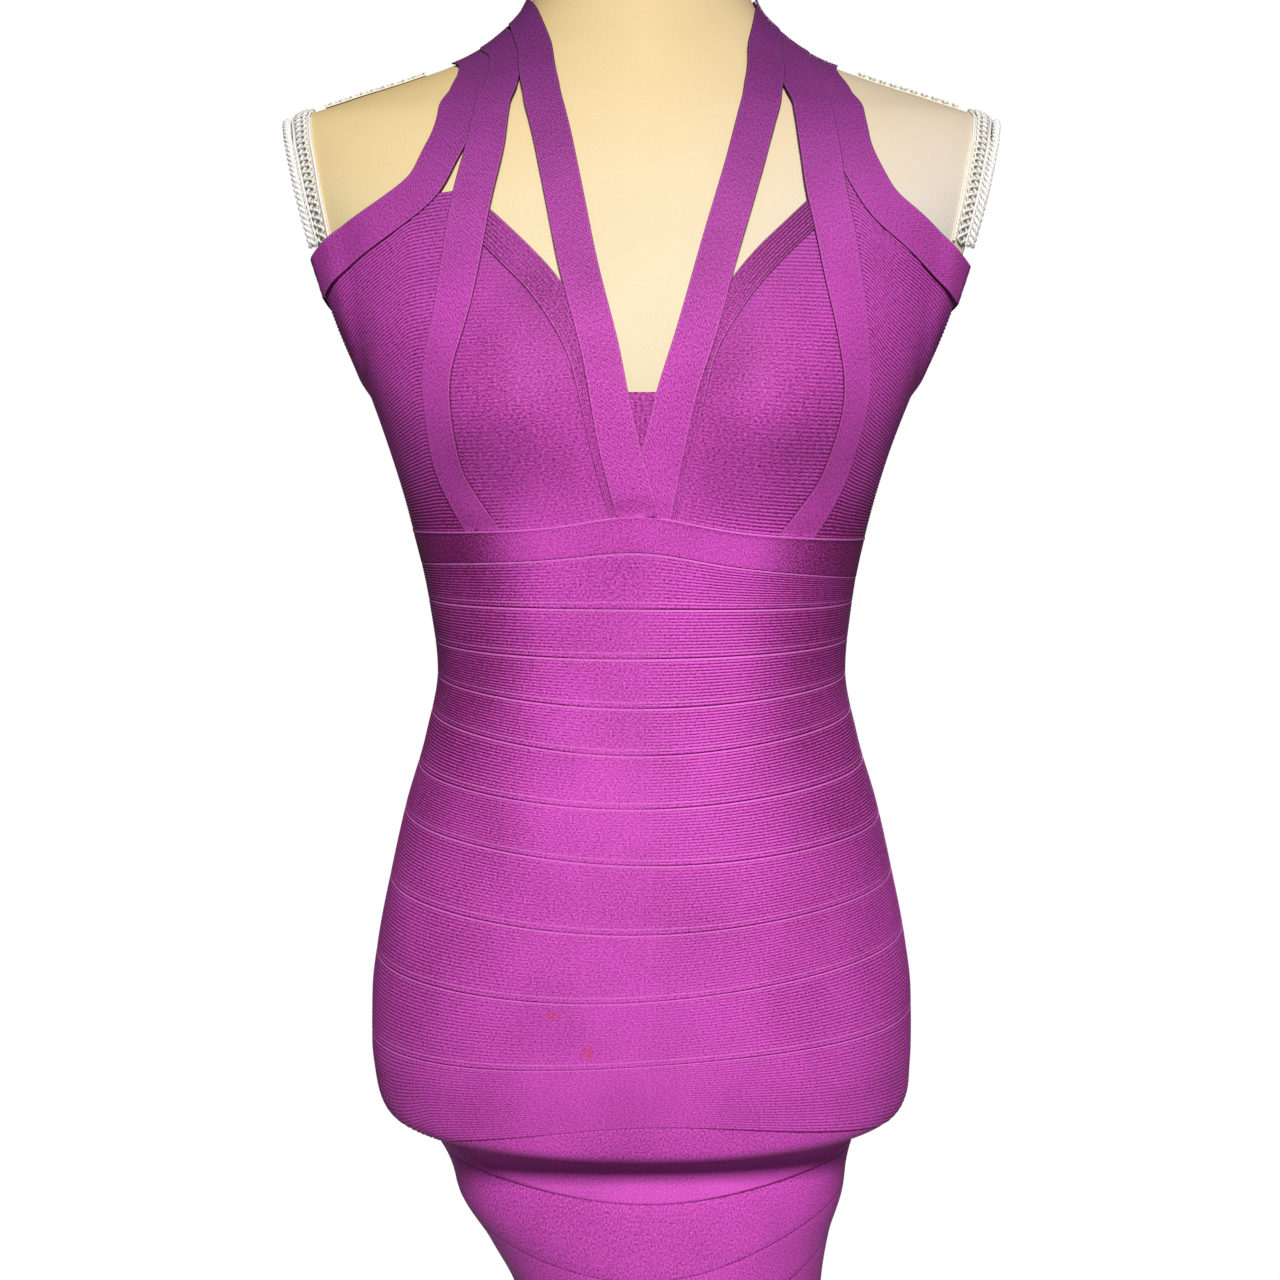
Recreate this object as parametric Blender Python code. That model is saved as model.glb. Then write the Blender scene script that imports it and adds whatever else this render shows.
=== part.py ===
"""A knitted bodycon halter dress stretched over a limbless dress form on a round stand.

Metres, +Z up. The dress faces -Y, and +X is the wearer's left. The origin is on the floor,
under the middle of the stand. Every piece of cloth is a wall that is laid on one body surface,
so that the pieces meet at their seams and stay clear of the form that they rest on.
"""

import math

import bmesh
import bpy
import numpy as np

# ---------------------------------------------------------------- driving sizes
WALL = 0.0011  # thickness of the knitted cloth
CLEAR = 0.0012  # from the form's cover to the inner face of the cloth
LAYER = 0.0018  # from one layer of cloth to the next: its wall and a 0.7 mm gap
SEAM = 0.0003  # gap between two pieces that are sewn edge to edge
TRIM_GAP = 0.0006  # gap where a slanting piece is trimmed against a band

ROUND_STEPS = 40  # sides of the form and of the bands on it
SKIRT_STEPS = 36  # sides of the narrower bands of the skirt

FORM_BOTTOM = 0.603  # underside of the form
FORM_TOP = 1.285  # top of the neck
BUST_ACROSS = 0.074  # from the middle to the fullest point of the bust
BUST_HEIGHT = 1.010
BUST_DEPTH = 0.026  # how far the bust stands out of the section
BUST_HALF_WIDTH = 0.050
BUST_ABOVE = 0.056  # how far it takes to fade above the fullest point
BUST_BELOW = 0.040

PLATE_X = 0.1920  # distance of the arm plate from the middle, at PLATE_Z
PLATE_Z = 1.150
PLATE_SLOPE = 0.28  # sideways for each metre up
PLATE_RIM = 0.80  # size of the plate against the cut it covers
PLATE_THICK = 0.0016
BRAID_WIDTH = 0.0130
BRAID_THICK = 0.0016
BRAID_GAP = 0.0005  # from the form's cover to the braid
BRAID_RISE = 0.0027  # how far the cloth that crosses the braid is lifted by it
BRAID_FADE = 0.014  # over which the cloth climbs the braid

POLE_RADIUS = 0.0125
FLANGE_RADIUS = 0.048
FLANGE_THICK = 0.006
BASE_RADIUS = 0.170
BASE_EDGE = 0.010
BASE_CROWN = 0.020
BOSS_RADIUS = 0.026
BOSS_TOP = 0.050
CAP_THICK = 0.010

# The body that the dress is stretched over, and the tube of the skirt below the form.
BODY_COLUMNS = ("height", "half_width", "front", "back", "squareness", "shift")
BODY = (
    (0.280, 0.0880, 0.0920, 0.0935, 2.00, 0.0165),
    (0.360, 0.0880, 0.0920, 0.0935, 2.00, 0.0165),
    (0.430, 0.0885, 0.0925, 0.0945, 2.00, 0.0165),
    (0.485, 0.0900, 0.0930, 0.0960, 2.00, 0.0160),
    (0.522, 0.1010, 0.0890, 0.0930, 2.05, 0.0100),
    (0.555, 0.1160, 0.0870, 0.0910, 2.10, 0.0040),
    (0.570, 0.1206, 0.0870, 0.0910, 2.10, 0.0030),
    (0.580, 0.1236, 0.0873, 0.0913, 2.10, 0.0020),
    (0.588, 0.1270, 0.0885, 0.0928, 2.05, 0.0010),
    (0.592, 0.1330, 0.0930, 0.0975, 2.05, 0.0015),
    (0.596, 0.1420, 0.1020, 0.1065, 2.05, 0.0015),
    (0.600, 0.1484, 0.1085, 0.1130, 2.05, 0.0015),
    (0.610, 0.1546, 0.1155, 0.1190, 2.10, 0.0010),
    (0.622, 0.1562, 0.1178, 0.1220, 2.15, 0.0005),
    (0.640, 0.1572, 0.1182, 0.1225, 2.20, 0.0),
    (0.670, 0.1566, 0.1170, 0.1215, 2.20, 0.0),
    (0.700, 0.1528, 0.1150, 0.1180, 2.20, 0.0),
    (0.740, 0.1447, 0.1110, 0.1100, 2.20, 0.0),
    (0.780, 0.1354, 0.1060, 0.1010, 2.20, 0.0),
    (0.820, 0.1236, 0.1005, 0.0930, 2.20, 0.0),
    (0.860, 0.1161, 0.0975, 0.0880, 2.20, 0.0),
    (0.900, 0.1202, 0.0990, 0.0890, 2.20, -0.0005),
    (0.945, 0.1294, 0.1060, 0.0930, 2.25, -0.0010),
    (0.980, 0.1389, 0.1085, 0.0970, 2.30, -0.0010),
    (1.014, 0.1508, 0.1085, 0.1020, 2.35, -0.0005),
    (1.045, 0.1640, 0.1060, 0.1055, 2.35, 0.0),
    (1.080, 0.1830, 0.1010, 0.1075, 2.30, 0.0),
    (1.110, 0.1970, 0.0950, 0.1075, 2.25, 0.0),
    (1.135, 0.2035, 0.0880, 0.1055, 2.10, 0.0),
    (1.155, 0.2040, 0.0810, 0.1020, 1.85, 0.0),
    (1.170, 0.1980, 0.0750, 0.0980, 1.60, 0.0),
    (1.1815, 0.1680, 0.0700, 0.0950, 1.42, 0.0),
    (1.193, 0.1310, 0.0650, 0.0910, 1.38, 0.0),
    (1.205, 0.0980, 0.0600, 0.0860, 1.45, 0.0),
    (1.217, 0.0790, 0.0570, 0.0810, 1.65, 0.0),
    (1.230, 0.0655, 0.0545, 0.0750, 1.85, 0.0),
    (1.245, 0.0590, 0.0530, 0.0700, 2.00, 0.0),
    (1.265, 0.0565, 0.0520, 0.0660, 2.00, 0.0),
    (1.285, 0.0560, 0.0520, 0.0640, 2.00, 0.0),
)

# Heights of the seams that run round the dress, at four sides of it. peak lifts the middle
# of the front by that much, fading over PEAK_HALF_ANGLE.
PEAK_HALF_ANGLE = 20.0
SEAM_COLUMNS = ("front", "left", "back", "right", "peak")
SEAMS = {
    "bust": (0.9465, 0.9360, 0.9420, 0.9405, 0.0070),
    "ribs": (0.9290, 0.9130, 0.9180, 0.9215, 0.0050),
    "a": (0.9030, 0.8995, 0.9000, 0.9010, 0.0),
    "b": (0.8760, 0.8785, 0.8770, 0.8775, 0.0),
    "waist": (0.8490, 0.8580, 0.8550, 0.8575, 0.0),
    "d": (0.8235, 0.8375, 0.8320, 0.8365, 0.0),
    "e": (0.7950, 0.8080, 0.8040, 0.8055, 0.0),
    "f": (0.7650, 0.7755, 0.7740, 0.7785, 0.0),
    "g": (0.7280, 0.7430, 0.7380, 0.7390, 0.0),
    "hip": (0.6920, 0.7090, 0.7000, 0.6945, 0.0),
    "i": (0.6570, 0.6620, 0.6550, 0.6460, 0.0),
    "rim": (0.6230, 0.5970, 0.6020, 0.5900, 0.0),
    "tuck": (0.5660, 0.5775, 0.5700, 0.5765, 0.0),
    "k": (0.5235, 0.5560, 0.5430, 0.5410, 0.0),
    "l": (0.4940, 0.5280, 0.5150, 0.5110, 0.0),
    "m": (0.4630, 0.4930, 0.4830, 0.4780, 0.0),
    "n": (0.4320, 0.4580, 0.4500, 0.4460, 0.0),
    "o": (0.4010, 0.4240, 0.4180, 0.4150, 0.0),
    "p": (0.3700, 0.3900, 0.3850, 0.3830, 0.0),
    "q": (0.3380, 0.3520, 0.3490, 0.3470, 0.0),
    "hem": (0.3050, 0.3120, 0.3100, 0.3090, 0.0),
}
# name, upper seam, lower seam, rows up the wall, sides round it
BANDS = (
    ("underbust_band", "bust", "ribs", 1, ROUND_STEPS),
    ("body_band_01", "ribs", "a", 1, ROUND_STEPS),
    ("body_band_02", "a", "b", 1, ROUND_STEPS),
    ("body_band_03", "b", "waist", 1, ROUND_STEPS),
    ("body_band_04", "waist", "d", 1, ROUND_STEPS),
    ("body_band_05", "d", "e", 1, ROUND_STEPS),
    ("body_band_06", "e", "f", 1, ROUND_STEPS),
    ("body_band_07", "f", "g", 1, ROUND_STEPS),
    ("body_band_08", "g", "hip", 1, ROUND_STEPS),
    ("body_band_09", "hip", "i", 1, ROUND_STEPS),
    ("body_band_10", "i", "rim", 3, ROUND_STEPS),
    ("rim_band", "rim", "tuck", 7, ROUND_STEPS),
    ("skirt_band_01", "tuck", "k", 2, SKIRT_STEPS),
    ("skirt_band_02", "k", "l", 1, SKIRT_STEPS),
    ("skirt_band_03", "l", "m", 1, SKIRT_STEPS),
    ("skirt_band_04", "m", "n", 1, SKIRT_STEPS),
    ("skirt_band_05", "n", "o", 1, SKIRT_STEPS),
    ("skirt_band_06", "o", "p", 1, SKIRT_STEPS),
    ("skirt_band_07", "p", "q", 1, SKIRT_STEPS),
    ("hem_band", "q", "hem", 1, SKIRT_STEPS),
)

# Panels of the bust: their side edges at each height, as angles from the middle of the front,
# and their top edge, as a height at each angle. Their foot follows the bust seam.
PANEL_COLUMNS = ("height", "inner", "outer")
CUP = (
    (0.935, 4.0, 44.5),
    (0.960, 5.0, 48.0),
    (0.985, 7.2, 51.5),
    (1.010, 11.0, 52.5),
    (1.035, 15.5, 51.0),
    (1.055, 21.0, 49.5),
    (1.075, 27.8, 48.8),
    (1.092, 36.0, 48.3),
    (1.104, 42.2, 48.0),
)
SIDE_BUST = (
    (0.935, 45.5, 89.88),
    (0.960, 49.0, 89.88),
    (0.985, 52.5, 89.88),
    (1.010, 53.5, 89.88),
    (1.035, 52.0, 89.88),
    (1.055, 50.5, 89.88),
    (1.084, 49.5, 89.88),
    (1.124, 50.0, 89.88),
)
INSERT = (
    (0.935, -3.6, 3.6),
    (0.960, -4.6, 4.6),
    (0.985, -6.8, 6.8),
    (1.018, -10.5, 10.5),
)
TOP_COLUMNS = ("angle", "height")
CUP_TOP = ((0.0, 1.104), (90.0, 1.104))
INSERT_TOP = ((-90.0, 1.018), (90.0, 1.018))
SIDE_TOP = (
    (49.0, 1.1240),
    (56.8, 1.1205),
    (60.7, 1.1115),
    (67.3, 1.0980),
    (74.7, 1.0845),
    (82.0, 1.0760),
    (89.9, 1.0710),
)

# Straps and bindings: the line along the middle of each, its width, and the layer it lies in,
# counted from the form's cover. They run from the shoulder down.
STRAP_COLUMNS = ("angle", "height", "width", "layer")
STRAPS = {
    "inner_strap_right": (
        (-95.0, 1.2310, 0.0185, 2.0),
        (-72.0, 1.2245, 0.0200, 2.0),
        (-48.0, 1.1928, 0.0205, 2.0),
        (-32.7, 1.1597, 0.0205, 1.0),
        (-24.0, 1.1210, 0.0205, 1.2),
        (-18.0, 1.0808, 0.0205, 2.0),
        (-12.0, 1.0407, 0.0210, 2.0),
        (-7.3, 1.0006, 0.0220, 2.0),
        (-1.3, 0.9597, 0.0225, 2.0),
        (0.0, 0.9500, 0.0225, 2.0),
    ),
    "inner_strap_left": (
        (95.0, 1.2310, 0.0190, 2.0),
        (75.0, 1.2215, 0.0205, 2.0),
        (56.7, 1.1950, 0.0215, 2.0),
        (40.7, 1.1646, 0.0210, 1.2),
        (30.7, 1.1301, 0.0205, 1.2),
        (22.7, 1.0928, 0.0205, 2.0),
        (16.7, 1.0562, 0.0215, 2.0),
        (13.2, 1.0350, 0.0220, 2.0),
        (10.0, 1.0170, 0.0220, 1.3),
        (8.0, 1.0000, 0.0220, 1.0),
        (5.5, 0.9800, 0.0225, 1.0),
        (2.6, 0.9500, 0.0225, 1.0),
    ),
    "middle_strap_right": (
        (-95.0, 1.2178, 0.0190, 1.0),
        (-71.0, 1.2060, 0.0205, 1.0),
        (-54.0, 1.1752, 0.0215, 1.2),
        (-46.5, 1.1393, 0.0215, 2.0),
        (-46.0, 1.1012, 0.0220, 2.0),
        (-47.3, 1.0611, 0.0220, 1.0),
        (-51.0, 1.0217, 0.0225, 1.0),
        (-51.3, 0.9822, 0.0225, 1.0),
        (-45.5, 0.9500, 0.0225, 1.0),
        (-43.0, 0.9380, 0.0225, 1.0),
    ),
    "middle_strap_left": (
        (95.0, 1.2175, 0.0195, 1.0),
        (74.0, 1.2040, 0.0215, 1.0),
        (60.0, 1.1800, 0.0225, 1.0),
        (52.0, 1.1500, 0.0225, 2.0),
        (49.3, 1.1188, 0.0225, 2.0),
        (50.0, 1.0829, 0.0225, 1.3),
        (52.0, 1.0470, 0.0225, 1.0),
        (54.3, 1.0104, 0.0225, 1.0),
        (52.7, 0.9752, 0.0225, 1.0),
        (45.5, 0.9450, 0.0225, 1.0),
        (43.0, 0.9350, 0.0225, 1.0),
    ),
    "outer_strap_right": (
        (-95.0, 1.2068, 0.0215, 0.0),
        (-80.0, 1.2035, 0.0225, 0.0),
        (-69.5, 1.1935, 0.0230, 0.0),
        (-60.7, 1.1745, 0.0225, 0.0),
        (-55.8, 1.1540, 0.0220, 0.4),
        (-55.6, 1.1310, 0.0210, 1.0),
        (-60.7, 1.1130, 0.0205, 1.0),
        (-67.3, 1.0995, 0.0205, 1.0),
        (-74.7, 1.0855, 0.0205, 2.0),
        (-82.0, 1.0760, 0.0205, 2.0),
        (-93.0, 1.0710, 0.0205, 1.7),
    ),
    "outer_strap_left": (
        (95.0, 1.2062, 0.0220, 0.0),
        (80.0, 1.2005, 0.0230, 0.0),
        (68.5, 1.1840, 0.0235, 0.0),
        (61.2, 1.1639, 0.0230, 0.0),
        (57.8, 1.1420, 0.0225, 0.6),
        (58.8, 1.1210, 0.0215, 1.0),
        (64.7, 1.1030, 0.0210, 1.0),
        (71.3, 1.0865, 0.0205, 2.0),
        (80.0, 1.0760, 0.0205, 2.0),
        (93.0, 1.0710, 0.0205, 1.7),
    ),
    "cup_binding_right": (
        (-45.5, 1.1110, 0.0160, 1.0),
        (-40.0, 1.1000, 0.0165, 1.0),
        (-34.0, 1.0875, 0.0170, 1.0),
        (-28.0, 1.0752, 0.0170, 1.0),
        (-22.0, 1.0580, 0.0160, 1.0),
        (-17.0, 1.0380, 0.0140, 1.0),
    ),
    "cup_binding_left": (
        (47.5, 1.1150, 0.0135, 1.0),
        (40.5, 1.1005, 0.0135, 1.0),
        (35.0, 1.0893, 0.0140, 1.0),
        (29.6, 1.0770, 0.0140, 1.0),
        (23.0, 1.0590, 0.0140, 1.0),
        (17.5, 1.0400, 0.0135, 1.0),
    ),
}

# The band behind the neck: its lower and upper edge at each angle from the front.
NECKBAND_COLUMNS = ("angle", "low", "high")
NECKBAND = (
    (90.12, 1.2045, 1.2365),
    (110.0, 1.2080, 1.2380),
    (140.0, 1.2110, 1.2410),
    (180.0, 1.2120, 1.2430),
)
SIDE_ANGLE = 89.88  # where the front meets the back
BACK_SEAMS = (0.9705, 1.0005, 1.0305, 1.0605)  # level seams of the back, from the bust seam up
BACK_TOP = 1.0820

# Finishes: colour, roughness, metallic
FINISHES = {
    "knit": ((0.33, 0.045, 0.30), 0.75, 0.0),
    "cover": ((0.80, 0.72, 0.58), 0.85, 0.0),
    "braid": ((0.82, 0.82, 0.84), 0.55, 0.0),
    "plate": ((0.78, 0.72, 0.62), 0.80, 0.0),
    "steel": ((0.04, 0.04, 0.045), 0.35, 0.9),
}


# ---------------------------------------------------------------- smooth curves through tables
def slopes(knots, values):
    """Slopes that keep a cubic curve between its own points, with no overshoot."""
    steps = np.diff(knots)
    rise = np.diff(values) / steps
    inner = np.zeros(len(knots))
    inner[0], inner[-1] = rise[0], rise[-1]
    for i in range(1, len(knots) - 1):
        if rise[i - 1] * rise[i] > 0:
            before = 2 * steps[i] + steps[i - 1]
            after = steps[i] + 2 * steps[i - 1]
            inner[i] = (before + after) / (before / rise[i - 1] + after / rise[i])
    return inner


def curve(knots, values, at):
    """The smooth curve through (knots, values), read at each number of at."""
    knots, values = np.asarray(knots, float), np.asarray(values, float)
    tangent = slopes(knots, values)
    at = np.clip(at, knots[0], knots[-1])
    i = np.clip(np.searchsorted(knots, at) - 1, 0, len(knots) - 2)
    step = knots[i + 1] - knots[i]
    t = (at - knots[i]) / step
    return (
        (2 * t**3 - 3 * t**2 + 1) * values[i]
        + (t**3 - 2 * t**2 + t) * step * tangent[i]
        + (3 * t**2 - 2 * t**3) * values[i + 1]
        + (t**3 - t**2) * step * tangent[i + 1]
    )


def columns(table):
    """The table's columns, each as an array."""
    return [np.array(column, float) for column in zip(*table)]


def smoothstep(t):
    t = np.clip(t, 0.0, 1.0)
    return t * t * (3 - 2 * t)


# ---------------------------------------------------------------- the body surface
BODY_TABLE = dict(zip(BODY_COLUMNS, columns(BODY)))


def section(name, height):
    return curve(BODY_TABLE["height"], BODY_TABLE[name], height)


def bust(x, height):
    """How far the bust stands forward of the plain section."""
    fade = np.where(height > BUST_HEIGHT, BUST_ABOVE, BUST_BELOW)
    level = np.exp(-(((height - BUST_HEIGHT) / fade) ** 2))
    left = np.exp(-(((x - BUST_ACROSS) / BUST_HALF_WIDTH) ** 2))
    right = np.exp(-(((x + BUST_ACROSS) / BUST_HALF_WIDTH) ** 2))
    return BUST_DEPTH * level * (left + right)


def plate_plane(height):
    """Distance of the arm plates' planes from the middle."""
    return PLATE_X + PLATE_SLOPE * (height - PLATE_Z)


def body(angle, height, flat_arms=True):
    """Points of the body at angles from the front, in radians, and at heights."""
    angle, height = np.broadcast_arrays(np.asarray(angle, float), np.asarray(height, float))
    ahead, aside = np.cos(angle), np.sin(angle)
    depth = np.where(ahead > 0, section("front", height), section("back", height))
    power = section("squareness", height)
    reach = (np.abs(aside) / section("half_width", height)) ** power
    reach = (reach + (np.abs(ahead) / depth) ** power) ** (-1 / power)
    x, y = reach * aside, -reach * ahead
    y = y - bust(x, height) * np.clip(3 * ahead, 0, 1)
    if flat_arms:
        edge = plate_plane(height)
        x = np.where((height > 1.02) & (np.abs(x) > edge), np.sign(x) * edge, x)
    return np.stack([x + section("shift", height), y, height], -1)


def tangents(angle, height, flat_arms=True):
    """The surface's slopes with the angle and with the height."""
    step = 1e-4
    by_angle = body(angle + step, height, flat_arms) - body(angle - step, height, flat_arms)
    by_height = body(angle, height + step, flat_arms) - body(angle, height - step, flat_arms)
    return by_angle / (2 * step), by_height / (2 * step)


def unit(vectors):
    return vectors / np.linalg.norm(vectors, axis=-1, keepdims=True)


def laid(angle, height, lift, flat_arms=True):
    """Points that lie lift off the body."""
    outward = unit(np.cross(*tangents(angle, height, flat_arms)))
    return body(angle, height, flat_arms) + np.asarray(lift)[..., None] * outward


def walk(angle, height, direction, distance, steps=4):
    """Where one gets to over the surface, going distance along direction from each point."""
    for _ in range(steps):
        by_angle, by_height = tangents(angle, height, False)
        aa, ah, hh = ((by_angle**2).sum(-1), (by_angle * by_height).sum(-1), (by_height**2).sum(-1))
        ad, hd = (by_angle * direction).sum(-1), (by_height * direction).sum(-1)
        scale = distance / steps / (aa * hh - ah**2)
        angle = angle + scale * (ad * hh - hd * ah)
        height = height + scale * (hd * aa - ad * ah)
    return angle, height


# ---------------------------------------------------------------- the arm plates' edges
def arm_edge(side, steps):
    """Angles and heights where the plate's plane cuts the body, going round the plate."""
    turns = np.linspace(0, 2 * math.pi, steps, endpoint=False)
    middle = 1.105
    near, far = np.zeros(steps), np.full(steps, 0.12)
    for _ in range(40):
        reach = (near + far) / 2
        height = middle + reach * np.sin(turns)
        y = reach * np.cos(turns)
        x = plate_plane(height)
        depth = np.where(y < 0, section("front", height), section("back", height))
        power = section("squareness", height)
        inside = (x / section("half_width", height)) ** power + (np.abs(y) / depth) ** power < 1
        near, far = np.where(inside, reach, near), np.where(inside, far, reach)
    return side * np.arctan2(x, -y), height


def arm_corner(height, to_back=False):
    """Angle, in degrees from the front or the back, where the plate's plane cuts the body."""
    plane, half = plate_plane(height), section("half_width", height)
    power = section("squareness", height)
    depth = section("back" if to_back else "front", height)
    inside = np.clip(1 - (plane / half) ** power, 1e-9, 1)
    return np.degrees(np.arctan2(plane, depth * inside ** (1 / power)))


ARM_EDGES = [laid(*arm_edge(side, 72), 0.0, False) for side in (-1, 1)]


def braid_rise(angle, height):
    """How far the braid round the arm plate lifts the cloth that crosses it."""
    points = body(angle, height, False)
    rise = np.zeros(points.shape[:-1])
    for edge in ARM_EDGES:
        away = np.linalg.norm(points[..., None, :] - edge, axis=-1).min(-1)
        rise = np.maximum(rise, 1 - smoothstep((away - BRAID_WIDTH) / BRAID_FADE))
    over_plate = (np.abs(points[..., 0]) > plate_plane(height)) & (height > 1.02)
    return BRAID_RISE * np.where(over_plate, 1.0, rise)


def worn(angle, height, lift):
    """Points of the cloth: lift off the body, and over the braid where there is one."""
    return laid(angle, height, lift + braid_rise(angle, height))


# ---------------------------------------------------------------- making objects
collection = bpy.data.collections.new("bodycon_dress_on_form")
materials = {}


def start():
    for thing in list(bpy.data.objects):
        bpy.data.objects.remove(thing, do_unlink=True)
    bpy.context.scene.collection.children.link(collection)


def finish_material(node, finish):
    colour, roughness, metallic = FINISHES[finish]
    material = bpy.data.materials.new(node + "_" + finish)
    material.use_nodes = True
    shader = material.node_tree.nodes["Principled BSDF"]
    shader.inputs["Base Color"].default_value = (*colour, 1.0)
    shader.inputs["Roughness"].default_value = roughness
    shader.inputs["Metallic"].default_value = metallic
    material.diffuse_color = (*colour, 1.0)
    return material


def add_node(name, bm, finish, sharp=35):
    """Ends a bmesh as the object of one node."""
    bmesh.ops.recalc_face_normals(bm, faces=bm.faces)
    mesh = bpy.data.meshes.new(name)
    bm.to_mesh(mesh)
    bm.free()
    mesh.shade_smooth()
    mesh.set_sharp_from_angle(angle=math.radians(sharp))
    mesh.materials.append(finish_material(name, finish))
    thing = bpy.data.objects.new(name, mesh)
    collection.objects.link(thing)
    return thing


def cloth(name, across, along, place, finish="knit", ring=False, wall=WALL):
    """A wall of cloth. A flat grid is laid by place(u, v, lift), and extruded to its outer face."""
    bm = bmesh.new()
    bmesh.ops.create_grid(bm, x_segments=across, y_segments=along, size=0.5)
    spot = bm.verts.layers.float_vector.new("spot")
    for vert in bm.verts:
        vert[spot] = (vert.co.x + 0.5, vert.co.y + 0.5, 0.0)

    def settle(verts, lift):
        u, v = np.array([vert[spot][:2] for vert in verts]).T
        for vert, point in zip(verts, place(u, v, lift)):
            vert.co = point

    settle(list(bm.verts), 0.0)
    if ring:
        bmesh.ops.remove_doubles(bm, verts=bm.verts, dist=1e-6)
    outer = bmesh.ops.extrude_face_region(bm, geom=bm.faces[:])["geom"]
    settle([part for part in outer if isinstance(part, bmesh.types.BMVert)], wall)
    return add_node(name, bm, finish)


# ---------------------------------------------------------------- the dress
def seam_height(name, angle):
    """Height of a seam at each angle, in radians, from its four sides and its peak."""
    front, left, back, right, peak = SEAMS[name]
    mean = (front + left + back + right) / 4
    wave = (front + back - left - right) / 4
    turned = np.degrees((angle + math.pi) % (2 * math.pi) - math.pi)
    return (
        mean
        + (front - back) / 2 * np.cos(angle)
        + (left - right) / 2 * np.sin(angle)
        + wave * np.cos(2 * angle)
        + peak * np.exp(-((turned / PEAK_HALF_ANGLE) ** 2))
    )


def along_profile(angle, low, high, v):
    """Heights that lie at the fraction v of the cloth's length from low up to high."""
    parts = np.linspace(0, 1, 41)
    height = low[..., None] + parts * (high - low)[..., None]
    steps = np.linalg.norm(np.diff(body(angle[..., None], height), axis=-2), axis=-1)
    length = np.concatenate([np.zeros(angle.shape + (1,)), np.cumsum(steps, axis=-1)], axis=-1)
    return np.array([np.interp(t * l[-1], l, h) for t, l, h in zip(v, length, height)])


def band(name, upper, lower, rows, sides):
    """A band that goes all round, between two seams."""

    def place(u, v, lift):
        angle = 2 * math.pi * u
        low = seam_height(lower, angle) + SEAM / 2
        high = seam_height(upper, angle) - SEAM / 2
        return worn(angle, along_profile(angle, low, high, v), CLEAR + lift)

    return cloth(name, sides, rows, place, ring=True)


def above_band(angle, height):
    """Trims a panel or a strap along the top of the underbust band."""
    return np.maximum(height, seam_height("bust", angle) + TRIM_GAP)


def panel(name, table, top_edge, side, across, along, beyond=0):
    """A panel of the bust, in layer 0, from the tables of its edges.

    Its last columns, as many as beyond says, lie past the edge of the arm plate.
    """
    height, inner, outer = columns(table)
    angle, top = columns(top_edge)
    turn_at = 1 - beyond / across

    def spread(u, level):
        first, last = curve(height, inner, level), curve(height, outer, level)
        if not beyond:
            return first + u * (last - first)
        corner = np.minimum(arm_corner(level), last - 0.09 * (last - first))
        before = first + u / turn_at * (corner - first)
        past = corner + (u - turn_at) / (1 - turn_at) * (last - corner)
        return np.where(u <= turn_at + 1e-6, before, past)

    def place(u, v, lift):
        level = height[0] + v * (height[-1] - height[0])
        for _ in range(8):
            turn = spread(u, level)
            foot = seam_height("bust", side * np.radians(turn)) + TRIM_GAP
            level = foot + v * (curve(angle, top, turn) - foot)
        return worn(side * np.radians(turn), level, CLEAR + lift)

    return cloth(name, across, along, place)


def strap(name, table, along):
    """A strip of even width, trimmed at the shoulder line and at the underbust band."""
    angle, height, width, layer = columns(table)
    angle = np.radians(angle)
    line = body(angle, height, False)
    steps = np.linalg.norm(np.diff(line, axis=0), axis=1)
    knots = np.concatenate([[0], np.cumsum(steps)])

    def middle(at):
        return curve(knots, angle, at), curve(knots, height, at)

    def place(u, v, lift):
        at = v * knots[-1]
        here, ahead, behind = middle(at), middle(at + 1e-3), middle(at - 1e-3)
        forward = body(*ahead, False) - body(*behind, False)
        outward = np.cross(*tangents(*here, False))
        sideways = unit(np.cross(unit(forward), unit(outward)))
        turn, level = walk(*here, sideways, (u - 0.5) * curve(knots, width, at))
        turn = np.clip(turn, -math.radians(SIDE_ANGLE), math.radians(SIDE_ANGLE))
        depth = CLEAR + LAYER * curve(knots, layer, at)
        return worn(turn, above_band(turn, level), depth + lift)

    return cloth(name, 2, along, place)


def back_panel(name, low, high, low_gap, high_gap, across, rows):
    """A band of the back, from side seam to side seam. low and high give its heights."""
    turn_at = 1 - 2 * 2 / across

    def place(u, v, lift):
        off = 2 * u - 1
        for_height = math.pi + math.radians(SIDE_ANGLE) * off
        bottom, top = low(for_height) + low_gap, high(for_height) - high_gap
        level = bottom + v * (top - bottom)
        corner = np.minimum(arm_corner(level, True), 0.93 * SIDE_ANGLE)
        past = corner + (np.abs(off) - turn_at) / (1 - turn_at) * (SIDE_ANGLE - corner)
        even = np.abs(off) / turn_at
        before = corner * (1.25 * even - 0.25 * even**3)
        turn = np.where(even <= 1 + 1e-6, before, past)
        return worn(math.pi + np.sign(off) * np.radians(turn), level, CLEAR + lift)

    return cloth(name, across, rows, place)


def neckband(name):
    """The band behind the neck that the straps are sewn to."""
    angle, low, high = columns(NECKBAND)

    def place(u, v, lift):
        turn = (u - 0.5) * 2 * (180 - NECKBAND[0][0])
        from_front = 180 - np.abs(turn)
        bottom, top = curve(angle, low, from_front), curve(angle, high, from_front)
        return worn(np.radians(180 + turn), bottom + v * (top - bottom), CLEAR + lift)

    return cloth(name, 24, 2, place)


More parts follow.
